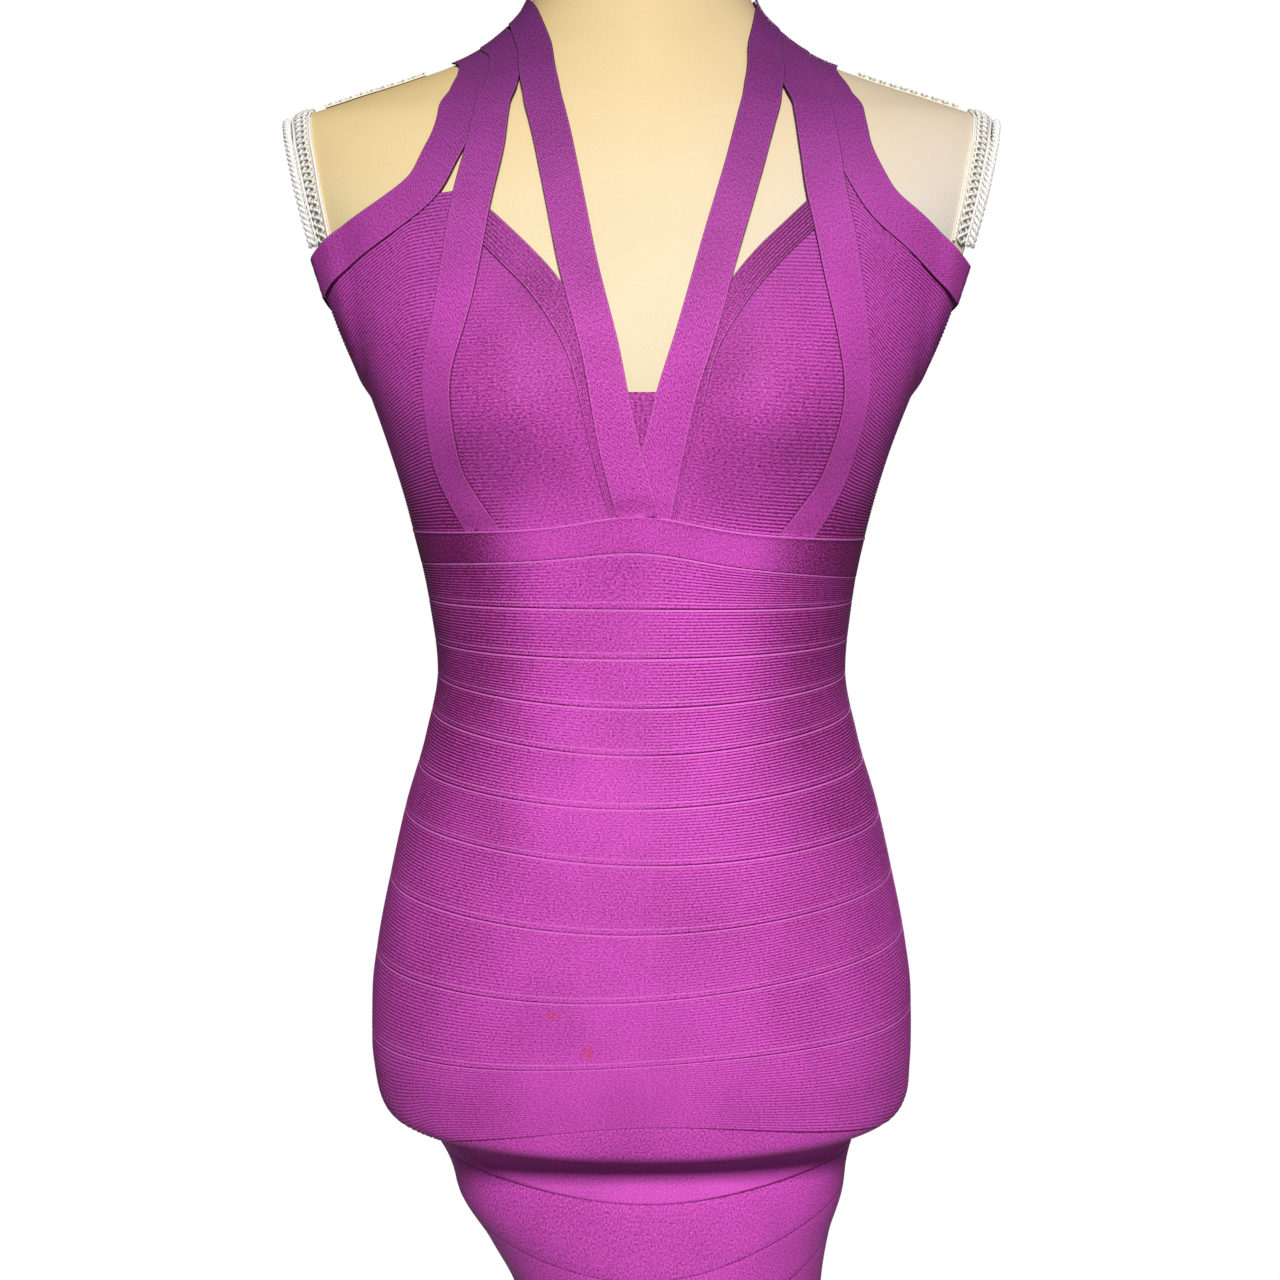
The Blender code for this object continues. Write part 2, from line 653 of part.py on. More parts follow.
def make_dress():
    for name, upper, lower, rows, sides in BANDS:
        band(name, upper, lower, rows, sides)
    for side, word in ((-1, "right"), (1, "left")):
        panel("cup_" + word, CUP, CUP_TOP, side, 9, 11)
        panel("side_bust_" + word, SIDE_BUST, SIDE_TOP, side, 9, 11, 3)
    panel("centre_insert", INSERT, INSERT_TOP, 1, 4, 4)
    for name, table in STRAPS.items():
        strap(name, table, 10 if "binding" in name else 22)
    levels = [lambda angle, z=z: np.full(angle.shape, z) for z in BACK_SEAMS]
    lowest = lambda angle: seam_height("bust", angle)
    for i, (low, high) in enumerate(zip([lowest] + levels, levels)):
        across, rows = (20, 1) if i < 3 else (28, 2)
        back_panel(f"back_band_{i + 1:02d}", low, high, SEAM / 2, SEAM / 2, across, rows)
    top = lambda angle: np.full(angle.shape, BACK_TOP)
    back_panel("back_edge_band", levels[-1], top, SEAM / 2, 0.0, 28, 2)
    neckband("neckband")


# ---------------------------------------------------------------- the form and its stand
def torso_heights():
    """Rows of the torso: close together where it turns, wider on the straight stretches."""
    stretches = ((FORM_BOTTOM, 0.622, 2), (0.622, 0.94, 12), (0.94, 1.08, 8),
                 (1.08, 1.17, 5), (1.17, 1.25, 8), (1.25, FORM_TOP, 2))
    rows = [FORM_BOTTOM]
    for low, high, count in stretches:
        rows += [low + (high - low) * (i + 1) / count for i in range(count)]
    return rows


def make_torso():
    """The torso: a loft through the body's sections, cut flat at the arms and closed."""
    bm = bmesh.new()
    loops = []
    for height in torso_heights():
        turns = np.linspace(0, 2 * math.pi, ROUND_STEPS, endpoint=False)
        loops.append([bm.verts.new(point) for point in body(turns, height, False)])
    for low, high in zip(loops, loops[1:]):
        for i in range(ROUND_STEPS):
            j = (i + 1) % ROUND_STEPS
            bm.faces.new((low[i], low[j], high[j], high[i]))
    bm.faces.new(list(reversed(loops[0])))
    bm.faces.new(loops[-1])
    for side in (-1, 1):
        cut = bmesh.ops.bisect_plane(
            bm,
            geom=bm.verts[:] + bm.edges[:] + bm.faces[:],
            plane_co=(side * PLATE_X, 0, PLATE_Z),
            plane_no=(side, 0, -PLATE_SLOPE),
            clear_outer=True,
        )
        rim = [part for part in cut["geom_cut"] if isinstance(part, bmesh.types.BMEdge)]
        bmesh.ops.edgeloop_fill(bm, edges=rim)
    bmesh.ops.triangulate(bm, faces=[face for face in bm.faces if len(face.verts) > 4])
    return add_node("form_torso", bm, "cover")


def arm_plate(name, side):
    """A thin plate on the flat of the arm, a little smaller than the cut."""
    edge = laid(*arm_edge(side, 36), 0.0, False)
    middle = edge.mean(axis=0)
    outward = unit(np.array([side, 0.0, -PLATE_SLOPE]))
    bm = bmesh.new()
    bmesh.ops.create_circle(bm, cap_ends=True, segments=36, radius=1)
    bm.verts.ensure_lookup_table()
    for vert, point in zip(bm.verts, edge):
        vert.co = middle + PLATE_RIM * (point - middle) + SEAM * outward
    lid = bmesh.ops.extrude_face_region(bm, geom=bm.faces[:])["geom"]
    verts = [part for part in lid if isinstance(part, bmesh.types.BMVert)]
    bmesh.ops.translate(bm, verts=verts, vec=PLATE_THICK * outward)
    return add_node(name, bm, "plate")


def arm_braid(name, side):
    """The braid that covers the torso's edge round the arm plate."""
    angle, height = arm_edge(side, 36)
    line = body(angle, height, False)
    forward = np.roll(line, -1, axis=0) - np.roll(line, 1, axis=0)
    outward = np.cross(*tangents(angle, height, False))
    inward = unit(np.cross(unit(forward), unit(outward)))
    if (inward[:, 0] * side).mean() > 0:
        inward = -inward

    def place(u, v, lift):
        i = np.round(u * 36).astype(int) % 36
        turn, level = walk(angle[i], height[i], inward[i], SEAM + v * BRAID_WIDTH)
        return laid(turn, level, BRAID_GAP + lift, False)

    return cloth(name, 36, 1, place, "braid", ring=True, wall=BRAID_THICK)


def seam_braid(name, side, low, high, rows):
    """A flat braid along the side of the body, between two heights."""

    def place(u, v, lift):
        height = low + v * (high - low)
        angle = np.full(height.shape, side * math.pi / 2)
        back = np.broadcast_to([0.0, 1.0, 0.0], height.shape + (3,))
        turn, level = walk(angle, height, back, (u - 0.5) * 0.009)
        return laid(turn, level, BRAID_GAP + lift, False)

    return cloth(name, 2, rows, place, "braid", wall=BRAID_THICK)


def turned(name, profile, sides, finish):
    """A turned piece: its profile, as (radius, height) from the foot up, spun round Z."""
    bm = bmesh.new()
    verts = [bm.verts.new((radius, 0, height)) for radius, height in profile]
    edges = [bm.edges.new(pair) for pair in zip(verts, verts[1:])]
    bmesh.ops.spin(bm, geom=verts + edges, cent=(0, 0, 0), axis=(0, 0, 1),
                   angle=2 * math.pi, steps=sides, use_merge=True)
    bmesh.ops.remove_doubles(bm, verts=bm.verts, dist=1e-6)
    return add_node(name, bm, finish, sharp=30)


def make_stand():
    pole_foot = BOSS_TOP + SEAM
    flange_foot = FORM_BOTTOM - SEAM - FLANGE_THICK
    pole_top = flange_foot - SEAM
    turned("stand_base", (
        (0, 0), (BASE_RADIUS - 0.004, 0), (BASE_RADIUS, 0.004), (BASE_RADIUS, BASE_EDGE),
        (BASE_RADIUS - 0.006, BASE_EDGE + 0.003), (BOSS_RADIUS + 0.006, BASE_CROWN),
        (BOSS_RADIUS, BASE_CROWN + 0.005), (BOSS_RADIUS - 0.004, BOSS_TOP), (0, BOSS_TOP),
    ), 40, "steel")
    turned("stand_pole", ((0, pole_foot), (POLE_RADIUS, pole_foot),
                          (POLE_RADIUS, pole_top), (0, pole_top)), 24, "steel")
    turned("stand_flange", ((0, flange_foot), (FLANGE_RADIUS, flange_foot),
                            (FLANGE_RADIUS, flange_foot + FLANGE_THICK),
                            (0, flange_foot + FLANGE_THICK)), 28, "steel")


def make_neck_cap():
    """The flat cap on the neck, with a bevelled edge."""
    bm = bmesh.new()
    lid = bmesh.ops.create_circle(bm, cap_ends=True, segments=32, radius=1)["verts"]
    outline = body(np.linspace(0, 2 * math.pi, 32, endpoint=False), FORM_TOP, False)
    for vert, point in zip(lid, outline):
        vert.co = (point[0], point[1], FORM_TOP + SEAM)
    raised = bmesh.ops.extrude_face_region(bm, geom=bm.faces[:])["geom"]
    top = [part for part in raised if isinstance(part, bmesh.types.BMVert)]
    bmesh.ops.translate(bm, verts=top, vec=(0, 0, CAP_THICK))
    edges = [edge for edge in bm.edges if all(vert in top for vert in edge.verts)]
    bmesh.ops.bevel(bm, geom=edges, affect="EDGES", offset=0.003, segments=2,
                    profile=0.5, material=-1)
    return add_node("neck_cap", bm, "plate")


def make_form():
    make_torso()
    for side, word in ((-1, "right"), (1, "left")):
        arm_plate("arm_plate_" + word, side)
        arm_braid("arm_braid_" + word, side)
        seam_braid("shoulder_braid_" + word, side, 1.1780, 1.1960, 8)
        seam_braid("neck_braid_" + word, side, 1.2400, 1.2840, 3)
    make_neck_cap()
    make_stand()


start()
make_form()
make_dress()
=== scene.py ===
# %% [markdown]
# # A bodycon dress on a dress form
#
# The dress is a bandage knit: narrow ribbed bands, sewn one under the other, that pull tight over
# a padded form without arms or legs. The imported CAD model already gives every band, strap and
# panel its true place and size. This lesson lays a finer piece over each of them, with its ribs,
# its rolled seams and its yarn, and gives each surface the finish of the real one.
#
# Units are metres, Z is up, the dress faces -Y, and +X is the wearer's left.

import math

import bmesh
import bpy
import numpy as np
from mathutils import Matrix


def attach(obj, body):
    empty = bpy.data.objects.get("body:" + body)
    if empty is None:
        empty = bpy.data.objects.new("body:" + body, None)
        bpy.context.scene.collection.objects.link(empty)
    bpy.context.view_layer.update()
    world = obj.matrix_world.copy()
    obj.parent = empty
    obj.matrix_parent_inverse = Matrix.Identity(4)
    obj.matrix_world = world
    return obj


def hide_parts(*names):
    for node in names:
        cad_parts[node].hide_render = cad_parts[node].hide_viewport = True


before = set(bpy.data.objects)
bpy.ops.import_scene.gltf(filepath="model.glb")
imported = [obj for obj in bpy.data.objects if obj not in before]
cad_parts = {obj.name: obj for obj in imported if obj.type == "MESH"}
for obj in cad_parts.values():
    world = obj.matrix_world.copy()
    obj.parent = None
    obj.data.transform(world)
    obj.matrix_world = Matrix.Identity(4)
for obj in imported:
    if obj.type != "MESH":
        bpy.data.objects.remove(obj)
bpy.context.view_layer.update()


# %% [markdown]
# ## Smooth curves through a few numbers
#
# A garment is drawn from few measures: a waist, a hip, the height of a seam. Between them the
# line has to be smooth and must never overshoot, or the waist would get narrower than the tape
# says. A monotone cubic does this. Every table below is read through it, so that a line is
# changed by changing one number.


# %% Curves
def slopes(knots, values):
    """Slopes that keep a cubic curve between its own points, with no overshoot."""
    steps = np.diff(knots)
    rise = np.diff(values) / steps
    inner = np.zeros(len(knots))
    inner[0], inner[-1] = rise[0], rise[-1]
    for i in range(1, len(knots) - 1):
        if rise[i - 1] * rise[i] > 0:
            before = 2 * steps[i] + steps[i - 1]
            after = steps[i] + 2 * steps[i - 1]
            inner[i] = (before + after) / (before / rise[i - 1] + after / rise[i])
    return inner


def curve(knots, values, at):
    """The smooth curve through (knots, values), read at each number of at."""
    knots, values = np.asarray(knots, float), np.asarray(values, float)
    tangent = slopes(knots, values)
    at = np.clip(at, knots[0], knots[-1])
    i = np.clip(np.searchsorted(knots, at) - 1, 0, len(knots) - 2)
    step = knots[i + 1] - knots[i]
    t = (at - knots[i]) / step
    return (
        (2 * t**3 - 3 * t**2 + 1) * values[i]
        + (t**3 - 2 * t**2 + t) * step * tangent[i]
        + (3 * t**2 - 2 * t**3) * values[i + 1]
        + (t**3 - t**2) * step * tangent[i + 1]
    )


def read_table(names, rows):
    """A table's columns by name, each as an array."""
    return {name: np.array(column, float) for name, column in zip(names, zip(*rows))}


def smoothstep(t):
    """Goes smoothly from 0 to 1 as t does, and stays level past them."""
    t = np.clip(t, 0.0, 1.0)
    return t * t * (3 - 2 * t)


print("between 1, 2 and 2 the curve reads", curve((0, 1, 2), (1, 2, 2), [0.5, 1.5]).round(3))

# %% [markdown]
# ## The body
#
# The form and everything on it share one surface, given by its sections: how wide and how deep
# the body is at each height, front and back apart, and how square the section is. A squareness
# of 2 is an ellipse; at the hips it is a little fuller. Below the form the same table is the tube
# of the skirt, which stretches narrower where nothing fills it. The rows lie close together round
# the form's rim, where the cloth turns in sharply and shades the skirt below.

# %% Body sections
FORM_BOTTOM = 0.603  # underside of the form
FORM_TOP = 1.285  # top of the neck
BODY_COLUMNS = ("height", "half_width", "front", "back", "squareness", "shift")
BODY = (
    (0.280, 0.0880, 0.0920, 0.0935, 2.00, 0.0165),
    (0.360, 0.0880, 0.0920, 0.0935, 2.00, 0.0165),
    (0.430, 0.0885, 0.0925, 0.0945, 2.00, 0.0165),
    (0.485, 0.0900, 0.0930, 0.0960, 2.00, 0.0160),
    (0.522, 0.1010, 0.0890, 0.0930, 2.05, 0.0100),
    (0.550, 0.1137, 0.0868, 0.0910, 2.10, 0.0054),
    (0.562, 0.1158, 0.0855, 0.0900, 2.08, 0.0046),
    (0.572, 0.1190, 0.0830, 0.0865, 2.00, 0.0035),
    (0.582, 0.1240, 0.0808, 0.0840, 1.95, 0.0020),
    (0.590, 0.1290, 0.0812, 0.0845, 1.90, 0.0010),
    (0.596, 0.1400, 0.0870, 0.0915, 1.95, 0.0015),
    (0.600, 0.1484, 0.1010, 0.1060, 2.05, 0.0015),
    (0.603, 0.1512, 0.1130, 0.1170, 2.12, 0.0013),
    (0.607, 0.1534, 0.1162, 0.1200, 2.14, 0.0012),
    (0.613, 0.1552, 0.1172, 0.1212, 2.14, 0.0010),
    (0.622, 0.1562, 0.1178, 0.1220, 2.15, 0.0005),
    (0.640, 0.1572, 0.1182, 0.1225, 2.20, 0.0),
    (0.670, 0.1566, 0.1170, 0.1215, 2.20, 0.0),
    (0.700, 0.1528, 0.1150, 0.1180, 2.20, 0.0),
    (0.740, 0.1447, 0.1110, 0.1100, 2.20, 0.0),
    (0.780, 0.1354, 0.1060, 0.1010, 2.20, 0.0),
    (0.820, 0.1236, 0.1005, 0.0930, 2.20, 0.0),
    (0.860, 0.1161, 0.0975, 0.0880, 2.20, 0.0),
    (0.900, 0.1202, 0.0990, 0.0890, 2.20, -0.0005),
    (0.945, 0.1294, 0.1060, 0.0930, 2.25, -0.0010),
    (0.980, 0.1389, 0.1085, 0.0970, 2.30, -0.0010),
    (1.014, 0.1508, 0.1085, 0.1020, 2.35, -0.0005),
    (1.045, 0.1640, 0.1060, 0.1055, 2.35, 0.0),
    (1.080, 0.1830, 0.1010, 0.1075, 2.30, 0.0),
    (1.110, 0.1970, 0.0950, 0.1075, 2.25, 0.0),
    (1.135, 0.2035, 0.0880, 0.1055, 2.10, 0.0),
    (1.155, 0.2040, 0.0810, 0.1020, 1.85, 0.0),
    (1.170, 0.1980, 0.0750, 0.0980, 1.60, 0.0),
    (1.1815, 0.1680, 0.0700, 0.0950, 1.42, 0.0),
    (1.193, 0.1310, 0.0650, 0.0910, 1.38, 0.0),
    (1.205, 0.0980, 0.0600, 0.0860, 1.45, 0.0),
    (1.217, 0.0790, 0.0570, 0.0810, 1.65, 0.0),
    (1.230, 0.0655, 0.0545, 0.0750, 1.85, 0.0),
    (1.245, 0.0590, 0.0530, 0.0700, 2.00, 0.0),
    (1.265, 0.0565, 0.0520, 0.0660, 2.00, 0.0),
    (1.285, 0.0560, 0.0520, 0.0640, 2.00, 0.0),
)
BODY_TABLE = read_table(BODY_COLUMNS, BODY)
print("sections:", len(BODY), "from", BODY[0][0], "to", BODY[-1][0], "m up")

# %% [markdown]
# The bust is added to the plain sections as two soft mounds, and where the arms would be the
# surface is cut off by two sloping planes. A cloth is this surface plus a lift of a few
# millimetres, so the pieces can't cut through each other. The girths that are printed are the
# first thing to set against a size chart.

# %% The body's surface
BUST_ACROSS, BUST_HEIGHT, BUST_DEPTH = 0.074, 1.010, 0.026
BUST_HALF_WIDTH, BUST_ABOVE, BUST_BELOW = 0.050, 0.056, 0.040
PLATE_X, PLATE_Z, PLATE_SLOPE = 0.1920, 1.150, 0.28  # where the arms are cut off
ARM_FOOT, ARM_MIDDLE, ARM_REACH = 1.020, 1.105, 0.12  # heights of that cut, and more than its radius


def section(name, height):
    """One of the body's measures at a height."""
    return curve(BODY_TABLE["height"], BODY_TABLE[name], height)


def bust(x, height):
    """How far the bust stands forward of the plain section."""
    fade = np.where(height > BUST_HEIGHT, BUST_ABOVE, BUST_BELOW)
    level = np.exp(-(((height - BUST_HEIGHT) / fade) ** 2))
    left = np.exp(-(((x - BUST_ACROSS) / BUST_HALF_WIDTH) ** 2))
    right = np.exp(-(((x + BUST_ACROSS) / BUST_HALF_WIDTH) ** 2))
    return BUST_DEPTH * level * (left + right)


def plate_plane(height):
    """Distance of the arm plates' planes from the middle."""
    return PLATE_X + PLATE_SLOPE * (height - PLATE_Z)


def body(angle, height, flat_arms=True):
    """Points of the body at angles from the front, in radians, and at heights."""
    angle, height = np.broadcast_arrays(np.asarray(angle, float), np.asarray(height, float))
    ahead, aside = np.cos(angle), np.sin(angle)
    depth = np.where(ahead > 0, section("front", height), section("back", height))
    power = section("squareness", height)
    reach = (np.abs(aside) / section("half_width", height)) ** power
    reach = (reach + (np.abs(ahead) / depth) ** power) ** (-1 / power)
    x, y = reach * aside, -reach * ahead
    y = y - bust(x, height) * np.clip(3 * ahead, 0, 1)
    if flat_arms:
        edge = plate_plane(height)
        x = np.where((height > ARM_FOOT) & (np.abs(x) > edge), np.sign(x) * edge, x)
    return np.stack([x + section("shift", height), y, height], -1)


def around(height, steps=400):
    """Length of the line round the body at a height."""
    loop = body(np.linspace(0, 2 * math.pi, steps + 1), height, False)
    return np.linalg.norm(np.diff(loop, axis=0), axis=1).sum()


for place, height in (("bust", 1.010), ("waist", 0.860), ("hips", 0.640), ("skirt", 0.400)):
    print(f"{place}: {around(height) * 1000:.0f} mm round")

# %% [markdown]
# Two helpers move over the surface. **laid** gives points that stand a little off the body, along
# the direction that points straight out of it. **walk** goes a given distance over the surface
# from a point, which is how a strap keeps an even width on a curved shoulder: its edges are
# found by walking half its width to either side of its middle line.


# %% Points on and along the body
def tangents(angle, height, flat_arms=True):
    """The surface's slopes with the angle and with the height."""
    step = 1e-4
    by_angle = body(angle + step, height, flat_arms) - body(angle - step, height, flat_arms)
    by_height = body(angle, height + step, flat_arms) - body(angle, height - step, flat_arms)
    return by_angle / (2 * step), by_height / (2 * step)


def unit(vectors):
    """The same directions with a length of 1."""
    return vectors / np.linalg.norm(vectors, axis=-1, keepdims=True)


def outward(angle, height, flat_arms=True):
    """The directions that point straight out of the body."""
    return unit(np.cross(*tangents(angle, height, flat_arms)))


def laid(angle, height, lift, flat_arms=True):
    """Points that lie lift off the body."""
    out = outward(angle, height, flat_arms)
    return body(angle, height, flat_arms) + np.asarray(lift)[..., None] * out


def walk(angle, height, direction, distance, steps=4):
    """Where one gets to over the surface, going distance along direction from each point."""
    for _ in range(steps):
        by_angle, by_height = tangents(angle, height, False)
        aa, ah, hh = ((by_angle**2).sum(-1), (by_angle * by_height).sum(-1), (by_height**2).sum(-1))
        ad, hd = (by_angle * direction).sum(-1), (by_height * direction).sum(-1)
        scale = distance / steps / (aa * hh - ah**2)
        angle = angle + scale * (ad * hh - hd * ah)
        height = height + scale * (hd * aa - ad * ah)
    return angle, height


def lengths(points):
    """How far along a line each of its points is."""
    return np.concatenate([[0], np.cumsum(np.linalg.norm(np.diff(points, axis=0), axis=1))])


print("straight out of the chest is", outward(0.0, 1.05).round(2))

# %% [markdown]
# Where the arms would be, the form is cut flat, and a braid covers the raw edge of its cover. The
# cloth of the dress runs over that braid, so it needs to know how near it is. The edge is found
# by looking outwards from the middle of the plate until the body ends.

# %% The edge of the arm plates
BRAID_WIDTH, BRAID_RISE, BRAID_FADE = 0.0130, 0.0024, 0.014


def arm_edge(side, turns):
    """Angles and heights where the plate's plane cuts the body. turns go round the plate."""
    near, far = np.zeros(len(turns)), np.full(len(turns), ARM_REACH)
    for _ in range(40):
        reach = (near + far) / 2
        height = ARM_MIDDLE + reach * np.sin(turns)
        y = reach * np.cos(turns)
        x = plate_plane(height)
        depth = np.where(y < 0, section("front", height), section("back", height))
        power = section("squareness", height)
        inside = (x / section("half_width", height)) ** power + (np.abs(y) / depth) ** power < 1
        near, far = np.where(inside, reach, near), np.where(inside, far, reach)
    return side * np.arctan2(x, -y), height


def arm_corner(height, to_back=False):
    """Angle, in degrees from the front or the back, where the plate's plane cuts the body."""
    plane, half = plate_plane(height), section("half_width", height)
    power = section("squareness", height)
    depth = section("back" if to_back else "front", height)
    inside = np.clip(1 - (plane / half) ** power, 1e-9, 1)
    return np.degrees(np.arctan2(plane, depth * inside ** (1 / power)))


ROUND_TURNS = np.linspace(0, 2 * math.pi, 72, endpoint=False)
ARM_EDGES = [laid(*arm_edge(side, ROUND_TURNS), 0.0, False) for side in (-1, 1)]
_, cut_deep, cut_high = np.ptp(ARM_EDGES[0], axis=0) * 1000
print(f"arm cut: {cut_deep:.0f} mm deep, {cut_high:.0f} mm high")


def braid_rise(angle, height):
    """How far the braid round the arm plate lifts the cloth that crosses it."""
    points = body(angle, height, False)
    rise = np.zeros(points.shape[:-1])
    for edge in ARM_EDGES:
        close = np.abs(points - edge.mean(axis=0)).max(-1) < ARM_REACH + 0.02
        away = np.linalg.norm(points[close][:, None, :] - edge, axis=-1).min(-1)
        rise[close] = np.maximum(rise[close], 1 - smoothstep((away - BRAID_WIDTH) / BRAID_FADE))
    over_plate = (np.abs(points[..., 0]) > plate_plane(height)) & (height > ARM_FOOT)
    return BRAID_RISE * np.where(over_plate, 1.0, rise)


def worn(angle, height, lift):
    """Points of the cloth: lift off the body, and over the braid where there is one."""
    return laid(angle, height, lift + braid_rise(angle, height))


# %% [markdown]
# ## Shader maths that reads like maths
#
# A finish is a small sum: yarn colour, darker in the grooves, lighter on the rolled seam, with
# some unevenness. In the node editor that is a dozen nodes, and in code it would be a page.
# **Wire** wraps the socket that a value comes out of, so that `0.3 + 0.5 * rib` adds its two Math
# nodes by itself.


# %% Wires
class Wire:
    """A value on its way through a material. Its sums and products add Math nodes."""

    def __init__(self, finish, socket):
        self.finish, self.socket = finish, socket

    def sum_of(self, operation, first, second):
        return self.finish.node("Math", {"operation": operation}, {0: first, 1: second})

    def __add__(self, other):
        return self.sum_of("ADD", self, other)

    def __sub__(self, other):
        return self.sum_of("SUBTRACT", self, other)

    def __rsub__(self, other):
        return self.sum_of("SUBTRACT", other, self)

    def __mul__(self, other):
        return self.sum_of("MULTIPLY", self, other)

    def __lt__(self, other):
        return self.sum_of("LESS_THAN", self, other)

    __radd__, __rmul__ = __add__, __mul__


# %% [markdown]
# **Finish** is a material with one method for every other node: its type, its settings, then the
# values or wires of its sockets. The methods after it are shorter names for the nodes that this
# dress needs again and again, and say in a maker's words what each one is for.


# %% Finishes
class Finish:
    """A material, its Principled shader, and the nodes that feed it."""

    def __init__(self, name, **constants):
        self.material = bpy.data.materials.new(name)
        self.material.use_nodes = True
        self.tree = self.material.node_tree
        self.shader = self.tree.nodes["Principled BSDF"]
        for name, value in constants.items():
            self.socket(name).default_value = value

    def socket(self, name):
        """The Principled socket that a name such as base_color stands for."""
        return self.shader.inputs[name.replace("_", " ").title().replace("Ior", "IOR")]

    def node(self, kind, settings=None, sockets=None, out=0):
        """Adds a node and gives the wire of one of its outputs."""
        made = self.tree.nodes.new("ShaderNode" + kind)
        for name, value in (settings or {}).items():
            setattr(made, name, value)
        for name, value in (sockets or {}).items():
            self.feed(made.inputs[name], value)
        return Wire(self, made.outputs[out])

    def feed(self, socket, value):
        """Links a wire to a socket, or sets the socket to a value."""
        if isinstance(value, Wire):
            self.tree.links.new(value.socket, socket)
        else:
            socket.default_value = value

    def shade(self, **sockets):
        """Feeds the Principled shader: base_color, roughness, metallic or normal."""
        for name, value in sockets.items():
            self.feed(self.socket(name), value)
        return self.material

    def mix(self, share, first, second):
        """A colour between two, as RGB triples or wires."""
        both = [c if isinstance(c, Wire) else (*c, 1.0) for c in (first, second)]
        return self.node("Mix", {"data_type": "RGBA"}, {0: share, 6: both[0], 7: both[1]}, out=2)

    def tinted(self, share, colour, tint):
        """The colour, which a tint multiplies as far as the share says."""
        dyed = self.node("VectorMath", {"operation": "MULTIPLY"}, {0: colour, 1: tint})
        return self.mix(share, colour, dyed)

    def place(self):
        """The point on the object, in metres."""
        return self.node("TexCoord", out="Object")

    def weave(self, across=1.0, up=1.0):
        """The piece's own weave map, in metres along and up the knit, stretched by two numbers."""
        grid = self.node("UVMap", {"uv_map": "weave"})
        return self.node("Mapping", sockets={"Vector": grid, "Scale": (across, up, 1.0)})

    def noise(self, vector, scale, detail=2.0):
        """Cloudy unevenness between 0 and 1."""
        return self.node("TexNoise", sockets={"Vector": vector, "Scale": scale, "Detail": detail})

    def kept(self, name):
        """A number that the mesh keeps at its points."""
        return self.node("Attribute", {"attribute_name": name}, out="Fac")

    def between(self, value, low, high):
        """0 below low, 1 above high, and smooth between them."""
        settings = {"interpolation_type": "SMOOTHSTEP"}
        return self.node("MapRange", settings, {"Value": value, "From Min": low, "From Max": high})

    def bump(self, height, depth, strength=1.0):
        """Fine relief, depth metres from 0 to 1."""
        return self.node("Bump", sockets={"Height": height, "Distance": depth, "Strength": strength})


# %% [markdown]
# ## The knit
#
# Bandage knit is viscose with a little elastane. The yarn is smooth, so it shines broadly towards
# the light and falls to a deep plum where the cloth turns away; painted shade and light, given
# below with the pull of the knit, adjust how far it falls. Its ribs are real geometry here, because
# they show at the outline and throw real shadows; the yarn itself is too fine for that, so the loops
# are a bump and a fleck of light and dark at their real size, a millimetre. The mesh keeps four
# numbers at its points. **rib** is 0 in a groove and 1 on a rib, and below 0 at an edge that goes
# under another piece: the colour is painted darker there as shade, and lighter on the ribs' tops as
# light. **seam** is 1 on the rolled edge of a band and less on a stitched rib, where a pale painted
# highlight stands for the light they catch. **open** says how far the ribs stand open, which also
# deepens that painted groove shade, and **deep** how much painted shade the yarn gets, or painted
# light where it is below 0. Towards the neck the knit gets painted shade, which takes back the light
# that the high lamp throws on the upper body.

# %% Knit finishes
DEEP = (0.130, 0.008, 0.075)
BRIGHT = (0.763, 0.098, 0.617)
# painted highlight of a rolled seam's edge and of a stitched rib
SEAM_HIGHLIGHT = (0.780, 0.220, 0.640)
KNIT_NECK_SHADE = (0.24, 0.31, 0.29)  # painted shade: what the yarn's colour is multiplied by at the neck
KNIT_NECK_SHADE_FROM, KNIT_NECK_SHADE_FULL = 0.96, 1.23  # heights between which that painted shade comes in
LOOPS = 940.0  # flecks of yarn in a metre
TONE, FLECK, CLOUD = 0.55, 1.9, 0.4  # middle tone, and how far it varies by loop and by place
RIB_SHADE, OPEN_SHADE, RIB_MEAN = 0.10, 0.62, 0.60  # painted shade of grooves and painted light of rib tops, for closed and open ribs, about a middle rib value
BAND_PAINTED_SHADE, TAPE_PAINTED_SHADE = 0.40, 0.16  # how strongly deep paints shade on a band, and on a tape
STAINS = ((-0.0479, 0.684, 0.0034), (-0.0287, 0.6644, 0.0042))  # x, z and radius on the front
STAIN = (0.52, 0.045, 0.060)


